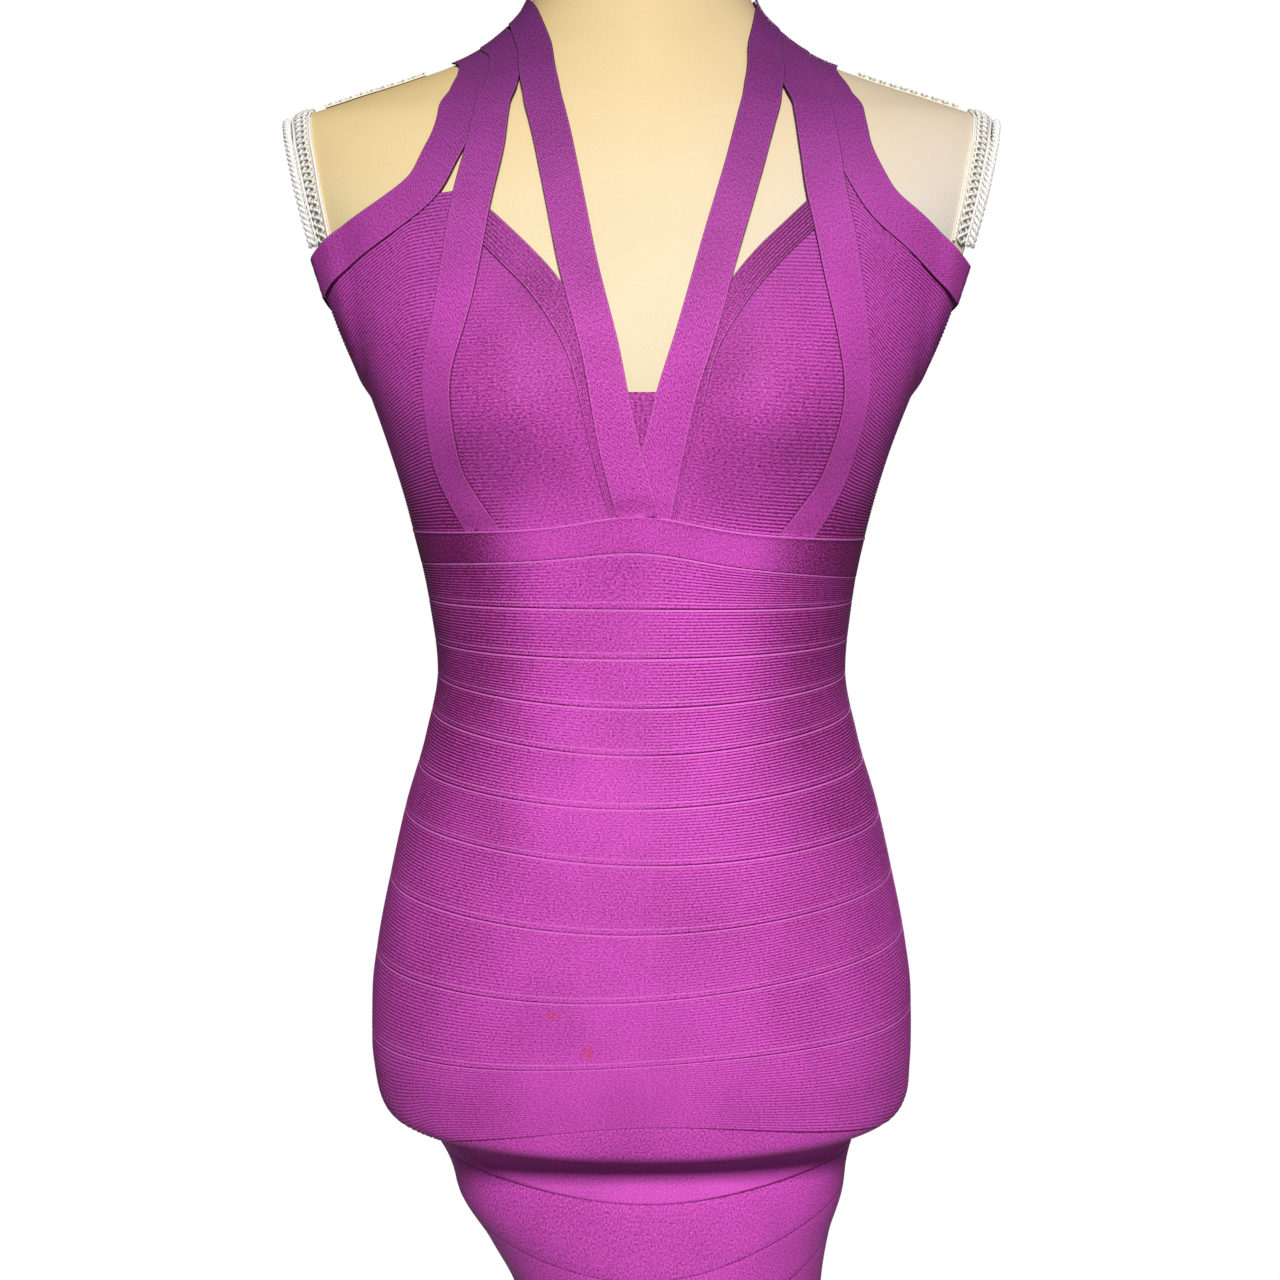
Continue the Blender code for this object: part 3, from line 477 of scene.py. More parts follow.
def knit_finish(name, grain, twill=0.0):
    """Knit yarn. grain stretches its loops along and up the weave map; twill slants them."""
    painted_shade_strength = TAPE_PAINTED_SHADE if twill else BAND_PAINTED_SHADE
    knit = Finish(name, specular_ior_level=0.30, specular_tint=(1.0, 0.55, 0.9, 1.0))
    rib, seam = knit.kept("rib"), knit.kept("seam")
    loops = knit.noise(knit.weave(*grain), LOOPS, 1.5)
    cloud = knit.noise(knit.place(), 22.0, 3.0)
    # The knit's tone: flecks and cloud of the yarn, less the painted shade that deep gives (painted
    # light where deep is below 0).
    light = TONE + FLECK * (loops - 0.5) + CLOUD * (cloud - 0.5) - painted_shade_strength * knit.kept("deep")
    # Painted shade in the grooves and under-going edges, painted light on the ribs' tops, stronger
    # where the ribs stand open.
    light = light + (RIB_SHADE + OPEN_SHADE * knit.kept("open")) * (rib - RIB_MEAN)
    if twill:
        slant = knit.node("TexWave", {"bands_direction": "DIAGONAL"},
                          {"Vector": knit.weave(), "Scale": 290.0, "Distortion": 1.5})
        light = light + twill * (slant - 0.5)
    # Painted highlight on rolled seams and stitched ribs.
    colour = knit.mix(0.35 * seam, knit.mix(light, DEEP, BRIGHT), SEAM_HIGHLIGHT)
    # Painted shade towards the neck, which takes back the light that the high lamp throws on the upper
    # body.
    height = knit.node("SeparateXYZ", sockets={0: knit.place()}, out="Z")
    colour = knit.tinted(knit.between(height, KNIT_NECK_SHADE_FROM, KNIT_NECK_SHADE_FULL), colour, KNIT_NECK_SHADE)
    knit.shade(roughness=0.56 + 0.16 * loops)
    return knit, colour, knit.bump(loops, 0.0003, 0.6)


def knit_material(name, grain, twill=0.0):
    """A plain knit."""
    knit, colour, bump = knit_finish(name, grain, twill)
    return knit.shade(base_color=colour, normal=bump)


def stained_material(name):
    """The knit with two small reddish marks on its front."""
    knit, colour, bump = knit_finish(name, (0.8, 1.3))
    front = knit.node("SeparateXYZ", sockets={0: knit.place()}, out="Y") < 0.0
    wobble = knit.noise(knit.place(), 420.0, 3.0)
    for x, z, radius in STAINS:
        off = knit.node("VectorMath", {"operation": "SUBTRACT"}, {0: knit.place(), 1: (x, 0, z)})
        flat = knit.node("VectorMath", {"operation": "MULTIPLY"}, {0: off, 1: (1, 0, 1)})
        away = knit.node("VectorMath", {"operation": "LENGTH"}, {0: flat}, out="Value")
        mark = 1 - knit.between(away + 0.009 * (wobble - 0.5), 0.35 * radius, 1.1 * radius)
        colour = knit.mix(0.42 * mark * front, colour, STAIN)
    return knit.shade(base_color=colour, normal=bump)


RIBBED = knit_material("knit_ribbed", (0.8, 1.3))
SMOOTH = knit_material("knit_smooth", (1.0, 1.0))
RIM = knit_material("knit_rim", (1.0, 2.0))
TAPE = knit_material("knit_tape", (1.4, 0.9), 0.20)
STAINED = stained_material("knit_ribbed_marked")
print("knit finishes:", [m.name for m in (RIBBED, SMOOTH, RIM, TAPE, STAINED)])

# %% [markdown]
# ## Making a piece of cloth
#
# In Blender one could start a band as a cylinder and cut loops into it. Here it starts as a flat
# grid whose two directions mean something: along the knit and up it. A **profile** says where
# the rows of the grid lie, how far each stands proud, and whether it is a groove, a rib or a
# rolled seam. The grid is laid on the body, its last column merged with its first if it goes all
# round, and it gets its thickness by extruding. So one short list gives fourteen ribs to a band
# or a folded edge to a strap. A row is at (from 0 to 1), lift (metres), rib and seam.

# %% Profiles
CLEAR = 0.0012  # from the form's cover to the inner face of the cloth
WALL = 0.0008  # cloth without its ribs
LAYER = 0.0013  # from one layer of cloth to the next
SEAM = 0.0003  # gap between two pieces sewn edge to edge
JOIN = 0.00004  # what stays open between two edges once they are sewn
LAPPED = 0.0005  # how far a panel goes into the top of the underbust band
RIB = 0.00042  # height of a rib where it stands open
FLAT = 0.30  # share of that height where the knit is pulled flat
RIBS = (14, 14, 14, 14, 16, 18, 21, 21, 21, 27)  # in each ribbed band, from the top
BACK_RIBS = 16
CUP_RIBS = 78
SIDE_BUST_RIBS = 90
ROLL = 0.00030  # height of the rolled edge at a seam
ROLL_WIDTH = 0.0013
SMOOTH_RIB = 0.7  # what plain cloth has for a rib, so that the painted groove shade hardly changes its tone
RIB_FROM, RIB_TO = 0.38, 0.62  # where the flat top of a rib lies between two grooves


def at_either(rows, at_end):
    """Rows of an edge, which run from 0 up, or the same rows mirrored to end at 1."""
    return [(1 - at, *rest) for at, *rest in reversed(rows)] if at_end else rows


def roll(length, at_end=False):
    """A rolled edge: the seam's pale line, a painted highlight where it catches the light."""
    share = ROLL_WIDTH / length
    rows = [(0.0, 0.0, 0.8, 0.6), (0.25 * share, ROLL, 1.0, 1.0), (0.75 * share, ROLL, 1.0, 1.0)]
    return at_either(rows + [(share, 0.0, 0.0, 0.0)], at_end)


def tucked(length, at_end=False):
    """An edge that goes under the next piece: a dark line of painted shade."""
    return at_either([(0.0, -0.0001, -1.0, 0.0), (0.0005 / length, 0.0, 0.4, 0.0)], at_end)


def bound(length, at_end=False):
    """The folded edge of a tape: a fine dark line of painted shade, then a fine light one of painted
    highlight.
    """
    rows = [(0.0, -0.0002, -2.0, 0.0), (0.0005 / length, 0.0001, 1.0, 0.8)]
    return at_either(rows + [(0.0012 / length, 0.0, SMOOTH_RIB, 0.0)], at_end)


def cut_off(length, at_end=False):
    """An edge with no relief."""
    return at_either([(0.0, 0.0, SMOOTH_RIB, 0.0)], at_end)


def between_edges(length, start, end, middle):
    """A profile: an edge, what middle gives from there to the other edge, and that edge."""
    first, last = start(length), end(length, True)
    return np.array(first[:-1] + middle(first[-1][0], last[0][0]) + last[1:])


def ribbed(length, count, start=tucked, end=roll, stitched=None, groove=0.0):
    """Ribs between two kinds of edge. The stitched rib, if any, is pale; groove is its rib number,
    which sets how dark the grooves' painted shade is.
    """

    def ribs(low, high):
        step = (high - low) / count
        rows = [(low + (i + at) * step, RIB if at else 0.0, 1.0 if at else groove,
                 0.7 if at and i == stitched else 0.0)
                for i in range(count) for at in (0.0, RIB_FROM, RIB_TO)]
        return rows + [(high, 0.0, groove, 0.0)]

    return between_edges(length, start, end, ribs)


def plain(length, rows, start=tucked, end=roll):
    """Smooth cloth between two kinds of edge."""

    def level(low, high):
        return [(at, 0.0, SMOOTH_RIB, 0.0) for at in np.linspace(low, high, rows + 1)]

    return between_edges(length, start, end, level)


print("rows of a ribbed band:", len(ribbed(0.027, RIBS[0])), "of a smooth one:", len(plain(0.027, 6)))

# %% [markdown]
# ## How far the knit is pulled, and its painted shade
#
# The dress isn't stretched evenly. Over the front the ribs lie flat and close, and towards the
# sides they stand open, with dark grooves between them, of real relief and painted shade. They
# start to open nearer the middle on the left than on the right. Round the bust and at the sides of
# the waist the colour also gets painted shade, and low on the hips and at the sides of the bust
# painted light, where the lamp alone would light them too much or too little. A short table gives
# both at a few heights: from and full are the angles from the front, in degrees, where the ribs
# start to open and where they are open. open is how far, deep is the painted shade all over, and
# side_painted_shade is what the sides add to it.

# %% The pull of the knit
PULL_COLUMNS = (
    "height", "left_from", "left_full", "right_from", "right_full", "open", "deep", "side_painted_shade"
)
PULL = (
    (0.560, 0, 60, 14, 62, 0.7, -0.12, 0.0),
    (0.640, -4, 45, 14, 62, 0.9, -0.08, 0.1),
    (0.720, -8, 38, 14, 62, 1.0, 0.10, 0.15),
    (0.800, -12, 28, 12, 60, 1.5, 0.0, 0.8),
    (0.865, -12, 28, 8, 54, 1.9, 0.0, 1.45),
    (0.935, -8, 32, 14, 60, 1.8, 0.0, 1.55),
    (0.975, 14, 60, 25, 62, 1.4, 0.25, 0.1),
    (1.030, 20, 62, 28, 62, 1.4, 0.45, -0.5),
    (1.100, 16, 60, 30, 62, 1.4, 0.20, -0.3),
    (1.160, 10, 52, 30, 62, 1.0, 0.0, 0.0),
)
PULL_TABLE = read_table(PULL_COLUMNS, PULL)
SIDE_FROM, SIDE_OVER = 26, 30  # degrees from the front where a side begins, and that it takes


def pulled(points):
    """How far the ribs stand open at each point, and how much painted shade the knit gets there."""
    height, aside, ahead = points[:, 2], np.abs(points[:, 0]), np.abs(points[:, 1])
    turned = np.degrees(np.arctan2(aside, ahead))
    pull = {name: curve(PULL_TABLE["height"], PULL_TABLE[name], height)
            for name in PULL_COLUMNS[1:]}
    on_left = points[:, 0] > 0
    start = np.where(on_left, pull["left_from"], pull["right_from"])
    full = np.where(on_left, pull["left_full"], pull["right_full"])
    stands_open = pull["open"] * smoothstep((turned - start) / (full - start))
    return stands_open, pull["deep"] + pull["side_painted_shade"] * smoothstep((turned - SIDE_FROM) / SIDE_OVER)


print("pull is given from", PULL[0][0], "to", PULL[-1][0], "m up")

# %% [markdown]
# Every piece is ended in the same way: its mesh gets its finish, rides on the one body that the
# part has, and hides the CAD nodes it stands for. The size a piece of cloth was cut to is
# measured once it is laid, on a coarse net over it: knit of this kind is cut about an eighth
# smaller than the body and stretched on.

# %% Ending and measuring a piece
STRETCH = 1.12  # worn size against cut size, round the body
triangles = 0
sheets = []


def add_piece(name, bm, material, nodes=(), sharp=None):
    """Ends a bmesh as a piece of the object, standing for its CAD nodes."""
    global triangles
    bmesh.ops.recalc_face_normals(bm, faces=bm.faces)
    mesh = bpy.data.meshes.new(name)
    bm.to_mesh(mesh)
    bm.free()
    mesh.shade_smooth()
    if sharp:
        mesh.set_sharp_from_angle(angle=math.radians(sharp))
    mesh.materials.append(material)
    piece = bpy.data.objects.new(name, mesh)
    bpy.context.scene.collection.objects.link(piece)
    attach(piece, "root")
    if nodes:
        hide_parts(*nodes)
    triangles += sum(len(polygon.vertices) - 2 for polygon in mesh.polygons)
    return piece


def worn_size(place, net_side=25):
    """Widths and lengths of the laid cloth, and its area, from a coarse net over it."""
    u, v = np.meshgrid(np.linspace(0, 1, net_side), np.linspace(0, 1, net_side))
    net = place(u.ravel(), v.ravel(), np.zeros(u.size)).reshape(net_side, net_side, 3)
    across, up = np.diff(net, axis=1), np.diff(net, axis=0)
    width = np.linalg.norm(across, axis=-1).sum(axis=1)
    length = np.linalg.norm(up, axis=-1).sum(axis=0)
    area = np.linalg.norm(np.cross(across[:-1], up[:, :-1]), axis=-1).sum()
    return width, length, area


# %% [markdown]
# A band that goes all round is a closed tube of cloth: its grid also wraps over its upper edge,
# down its inner face and under its lower edge, so that two merges close it. A panel or a strap
# has open ends, so it is extruded instead.

# %% Cloth maker
ROWS_INSIDE = 3  # down the inner face of a tube of cloth


def cloth(node, across, up, place, material, ring=False):
    """Lays a grid of cloth on the body and gives it its wall, its relief and its weave map.

    across and up are profiles; place(u, v, lift) gives the points. A ring goes all round.
    """
    width, length, area = worn_size(place)
    if ring:
        within = [(at, -WALL, 1.0, 0.0) for at in np.linspace(1, 0, ROWS_INSIDE)]
        up = np.vstack([up, within, up[:1]])
    bm = bmesh.new()
    bmesh.ops.create_grid(bm, x_segments=len(across) - 1, y_segments=len(up) - 1, size=0.5)
    kept = [bm.verts.layers.float.new(name) for name in ("rib", "seam", "open", "deep")]
    rib, seam, opened, deep = kept
    spot = bm.verts.layers.float_vector.new("spot")
    weave = bm.loops.layers.uv.new("weave")
    for vert in bm.verts:
        a = across[round((vert.co.x + 0.5) * (len(across) - 1))]
        b = up[round((vert.co.y + 0.5) * (len(up) - 1))]
        vert[spot] = (a[0], b[0], a[1] + b[1])
        vert[rib], vert[seam] = min(a[2], b[2]), max(a[3], b[3])
    for face in bm.faces:
        for loop in face.loops:
            u, v, _ = loop.vert[spot]
            loop[weave].uv = (u * width.mean(), v * length.mean())

    def settle(verts, wall):
        """Lays points wall off the body, with their relief on the outer face."""
        u, v, lift = np.array([vert[spot][:] for vert in verts]).T
        # tone is the painted shade of the pull table, which the finish reads as deep.
        stands_open, tone = pulled(place(u, v, np.zeros(len(u))))
        lift = np.where(lift > 0, lift * (FLAT + (1 - FLAT) * np.minimum(stands_open, 1.0)), lift)
        points = place(u, v, lift * (wall > 0) + wall)
        for vert, point, share, dark in zip(verts, points, stands_open, tone):
            vert.co, vert[opened], vert[deep] = point, share, dark

    settle(list(bm.verts), WALL if ring else 0.0)
    if ring:
        bmesh.ops.remove_doubles(bm, verts=bm.verts, dist=1e-6)
    else:
        outer = bmesh.ops.extrude_face_region(bm, geom=bm.faces[:])["geom"]
        settle([part for part in outer if isinstance(part, bmesh.types.BMVert)], WALL)
    bm.verts.layers.float_vector.remove(spot)
    piece = add_piece(node + "_knit", bm, material, [node])
    cut = (width.max() / STRETCH, length.max())
    sheets.append((node, *cut))
    return piece


# %% [markdown]
# ## The bands
#
# From under the bust to the hem the dress is twenty bands, each sewn to the next with a rolled
# seam: a dark line of painted shade where one band goes under, and a pale one of painted highlight
# where the next one's edge rolls over it. The seams aren't level, because the cloth is pulled
# differently at the front, the back and each side, so every seam is its heights at the front, left,
# back and right, a smooth line through them, and a peak in the middle of the front. Ten bands show
# ribs. On the band that turns in under the form and on the skirt, where the cloth is stretched
# least, they close up and the knit looks smooth.

# %% Seams
PEAK_HALF_ANGLE = 20.0
SEAM_COLUMNS = ("front", "left", "back", "right", "peak")
SEAMS = {
    "bust": (0.9465, 0.9360, 0.9420, 0.9405, 0.0070),
    "ribs": (0.9290, 0.9130, 0.9180, 0.9215, 0.0050),
    "midriff": (0.9030, 0.8995, 0.9000, 0.9010, 0.0),
    "above_waist": (0.8760, 0.8785, 0.8770, 0.8775, 0.0),
    "waist": (0.8490, 0.8580, 0.8550, 0.8575, 0.0),
    "below_waist": (0.8235, 0.8375, 0.8320, 0.8365, 0.0),
    "belly": (0.7950, 0.8080, 0.8040, 0.8055, 0.0),
    "high_hip": (0.7650, 0.7755, 0.7740, 0.7785, 0.0),
    "upper_hip": (0.7280, 0.7430, 0.7380, 0.7390, 0.0),
    "hip": (0.6920, 0.7090, 0.7000, 0.6945, 0.0),
    "low_hip": (0.6570, 0.6620, 0.6550, 0.6460, 0.0),
    "rim": (0.6230, 0.5970, 0.6020, 0.5900, 0.0),
    "tuck": (0.5660, 0.5775, 0.5700, 0.5765, 0.0),
    "skirt_1": (0.5235, 0.5560, 0.5430, 0.5410, 0.0),
    "skirt_2": (0.4940, 0.5280, 0.5150, 0.5110, 0.0),
    "skirt_3": (0.4630, 0.4930, 0.4830, 0.4780, 0.0),
    "skirt_4": (0.4320, 0.4580, 0.4500, 0.4460, 0.0),
    "skirt_5": (0.4010, 0.4240, 0.4180, 0.4150, 0.0),
    "skirt_6": (0.3700, 0.3900, 0.3850, 0.3830, 0.0),
    "skirt_7": (0.3380, 0.3520, 0.3490, 0.3470, 0.0),
    "hem": (0.3050, 0.3120, 0.3100, 0.3090, 0.0),
}
SEAM_NAMES = list(SEAMS)
RIBBED_SEAMS = SEAM_NAMES[SEAM_NAMES.index("ribs"):SEAM_NAMES.index("rim") + 1]
SKIRT_SEAMS = SEAM_NAMES[SEAM_NAMES.index("tuck"):SEAM_NAMES.index("hem")]


def seam_height(name, angle):
    """Height of a seam at each angle, in radians, from its four sides and its peak."""
    seam = dict(zip(SEAM_COLUMNS, SEAMS[name]))
    along, aside = seam["front"] + seam["back"], seam["left"] + seam["right"]
    turned = np.degrees((angle + math.pi) % (2 * math.pi) - math.pi)
    return (
        (along + aside) / 4
        + (seam["front"] - seam["back"]) / 2 * np.cos(angle)
        + (seam["left"] - seam["right"]) / 2 * np.sin(angle)
        + (along - aside) / 4 * np.cos(2 * angle)
        + seam["peak"] * np.exp(-((turned / PEAK_HALF_ANGLE) ** 2))
    )


print("seams:", len(SEAMS), "from", SEAMS["bust"][0], "down to", SEAMS["hem"][0], "m in front")

# %% [markdown]
# A band fills the room between two seams. Under the rim the body turns in so fast that even steps
# of height would leave its rows far apart there, so the rows are spread evenly along the cloth
# instead. Below the rim each band hangs from the one above it.

# %% Bands
ROUND_STEPS, RIM_STEPS, SKIRT_STEPS = 176, 160, 144  # columns round the dress
UNDERBUST_PROUD = 0.0004  # how far the underbust band stands out from its neighbours
MARKED_BAND = 8  # the ribbed band with the two marks, counted from 0


def along_profile(angle, low, high, v):
    """Heights that lie at the fraction v of the cloth's length from low up to high."""
    each, which = np.unique(angle.round(9), return_inverse=True)
    parts = np.linspace(0, 1, 41)
    height = low(each)[:, None] + parts * (high(each) - low(each))[:, None]
    steps = np.linalg.norm(np.diff(body(each[:, None], height), axis=-2), axis=-1)
    length = np.concatenate([np.zeros((len(each), 1)), np.cumsum(steps, axis=-1)], axis=-1)
    found = np.zeros(len(angle))
    for i, (so_far, level) in enumerate(zip(length, height)):
        found[which == i] = np.interp(v[which == i] * so_far[-1], so_far, level)
    return found


def band(node, upper, lower, rows, material, columns_round, proud=0.0):
    """A band that goes all round, between two seams, and stands proud of its neighbours or not."""

    def low(angle):
        return seam_height(lower, angle) + JOIN / 2

    def high(angle):
        return seam_height(upper, angle) - JOIN / 2

    def place(u, v, lift):
        angle = 2 * math.pi * u
        height = along_profile(angle, low, high, v)
        return worn(angle, height, CLEAR + lift + proud * (lift > 0))

    length = worn_size(place)[1].mean()
    across = np.array([(u, 0.0, 1.0, 0.0) for u in np.linspace(0, 1, columns_round + 1)])
    return cloth(node, across, rows(length), place, material, ring=True)


def smooth(rows, end=tucked):
    """The profile of smooth cloth with so many rows, for any length."""
    return lambda length: plain(length, rows, end=end)


def in_ribs(count, stitched):
    """The profile of ribbed cloth with so many ribs, for any length."""
    return lambda length: ribbed(length, count, stitched=stitched)


band("underbust_band", "bust", "ribs", smooth(8, roll), SMOOTH, ROUND_STEPS,
     UNDERBUST_PROUD)
for i, (upper, lower) in enumerate(zip(RIBBED_SEAMS, RIBBED_SEAMS[1:])):
    rows = in_ribs(RIBS[i], stitched=None if lower == "rim" else 1)
    finish = STAINED if i == MARKED_BAND else RIBBED
    band(f"body_band_{i + 1:02d}", upper, lower, rows, finish, ROUND_STEPS)
band("rim_band", "rim", "tuck", smooth(64), RIM, RIM_STEPS)
for i, (upper, lower) in enumerate(zip(SKIRT_SEAMS, SKIRT_SEAMS[1:])):
    band(f"skirt_band_{i + 1:02d}", upper, lower, smooth(8), SMOOTH, SKIRT_STEPS)
band("hem_band", "skirt_7", "hem", smooth(8), SMOOTH, SKIRT_STEPS)
band_count = len(sheets)
print("bands:", band_count, "triangles so far:", triangles)

# %% [markdown]
# ## The bust
#
# Two cups, a panel at each side and a narrow insert between the cups make the top. Their inner
# and outer edges are tables of angles at each height, and their upper edges tables of heights at
# each angle. A panel's ribs follow its lower seam at the foot and its curved upper edge at the
# top, and fan out between them, as cut panels of ribbed knit do. The left side panel goes a
# little higher than the right one, up to its strap.

# %% Panels of the bust
SIDE_ANGLE = 89.98  # where the front meets the back
PANEL_LENGTH = 0.175  # of a cup or a side panel, for its profile
SIDE_PLATE_AT = 2 / 3  # where, across a side panel, the edge of the arm plate lies
PAST_PLATE = 0.09  # share of a side panel that lies past that edge at least
PANEL_COLUMNS = ("height", "inner", "outer")
CUP = (
    (0.935, 4.0, 44.5),
    (0.960, 5.0, 48.0),
    (0.985, 7.2, 51.5),
    (1.010, 11.0, 52.5),
    (1.035, 15.5, 51.0),
    (1.055, 21.0, 49.5),
    (1.075, 27.8, 48.8),
    (1.092, 36.0, 48.3),
    (1.104, 42.2, 48.0),
)
SIDE_BUST = (
    (0.935, 45.5, 89.98),
    (0.960, 49.0, 89.98),
    (0.985, 52.5, 89.98),
    (1.010, 53.5, 89.98),
    (1.035, 52.0, 89.98),
    (1.055, 50.5, 89.98),
    (1.084, 49.5, 89.98),
    (1.124, 50.0, 89.98),
)
INSERT = ((0.935, -3.6, 3.6), (0.960, -4.6, 4.6), (0.985, -6.8, 6.8), (1.018, -10.5, 10.5))
TOP_COLUMNS = ("angle", "height")
CUP_TOP = ((0.0, 1.104), (90.0, 1.104))
INSERT_TOP = ((-90.0, 1.018), (90.0, 1.018))
SIDE_TOP = (
    (49.0, 1.1240),
    (56.8, 1.1205),
    (60.7, 1.1115),
    (67.3, 1.0980),
    (74.7, 1.0845),
    (82.0, 1.0760),
    (89.9, 1.0710),
)
SIDE_TOP_LEFT = ((49.0, 1.1370), (54.0, 1.1340), *SIDE_TOP[2:])


def level_columns(count, corner=None):
    """Even columns without relief, with three close together at a corner if there is one."""
    at = np.linspace(0, 1, count + 1)
    if corner is not None:
        at = np.unique(np.concatenate([at, corner + np.array([-0.012, 0.0, 0.012])]))
    return np.array([(u, 0.0, 1.0, 0.0) for u in at])


def panel(node, table, top_edge, side, across, up, material, plate_at=None):
    """A panel of the bust. plate_at is where, across it, the edge of the arm plate lies."""
    edges, upper = read_table(PANEL_COLUMNS, table), read_table(TOP_COLUMNS, top_edge)
    height = edges["height"]

    def spread(u, level):
        """Angles of the panel's columns at a height, evened out before and past the plate."""
        first, last = curve(height, edges["inner"], level), curve(height, edges["outer"], level)
        if plate_at is None:
            return first + u * (last - first)
        corner = np.minimum(arm_corner(level), last - PAST_PLATE * (last - first))
        before = first + u / plate_at * (corner - first)
        past = corner + (u - plate_at) / (1 - plate_at) * (last - corner)
        return np.where(u <= plate_at + 1e-6, before, past)

    def place(u, v, lift):
        level = height[0] + v * (height[-1] - height[0])
        for _ in range(8):
            turn = spread(u, level)
            foot = seam_height("bust", side * np.radians(turn)) - LAPPED
            level = foot + v * (curve(upper["angle"], upper["height"], turn) - foot)
        return worn(side * np.radians(turn), level, CLEAR + lift)

    return cloth(node, across, up, place, material)


cup_rows = ribbed(PANEL_LENGTH, CUP_RIBS, end=cut_off)
side_rows = ribbed(PANEL_LENGTH, SIDE_BUST_RIBS, end=cut_off)
side_columns = level_columns(42, SIDE_PLATE_AT)
for side, word in ((-1, "right"), (1, "left")):
    panel(f"cup_{word}", CUP, CUP_TOP, side, level_columns(52), cup_rows, RIBBED)
    top = SIDE_TOP if side < 0 else SIDE_TOP_LEFT
    panel(f"side_bust_{word}", SIDE_BUST, top, side, side_columns, side_rows, RIBBED,
          SIDE_PLATE_AT)
print("panels:", len(sheets) - band_count, "triangles so far:", triangles)

# %% [markdown]
# The insert between the cups is the same knit turned upright, so its ribs run up and down. That
# needs no new tool: the ribbed profile goes across the piece instead of up it.

# %% Insert
INSERT_WIDTH, INSERT_HEIGHT = 0.024, 0.074
panel("centre_insert", INSERT, INSERT_TOP, 1, ribbed(INSERT_WIDTH, 12, end=tucked, groove=-1.0),
      plain(INSERT_HEIGHT, 24, end=cut_off), RIBBED)
print(f"insert: {sheets[-1][1] * 1000:.0f} mm wide, {sheets[-1][2] * 1000:.0f} mm high when cut")

# %% [markdown]
# ## The straps
#
# Three straps a side are doubled tapes of the same knit, and the cups are bound with narrower
# ribbed ones. Each is a line over the body, given by an angle, a height, a width and the layer it
# lies in, since the tapes cross over one another.

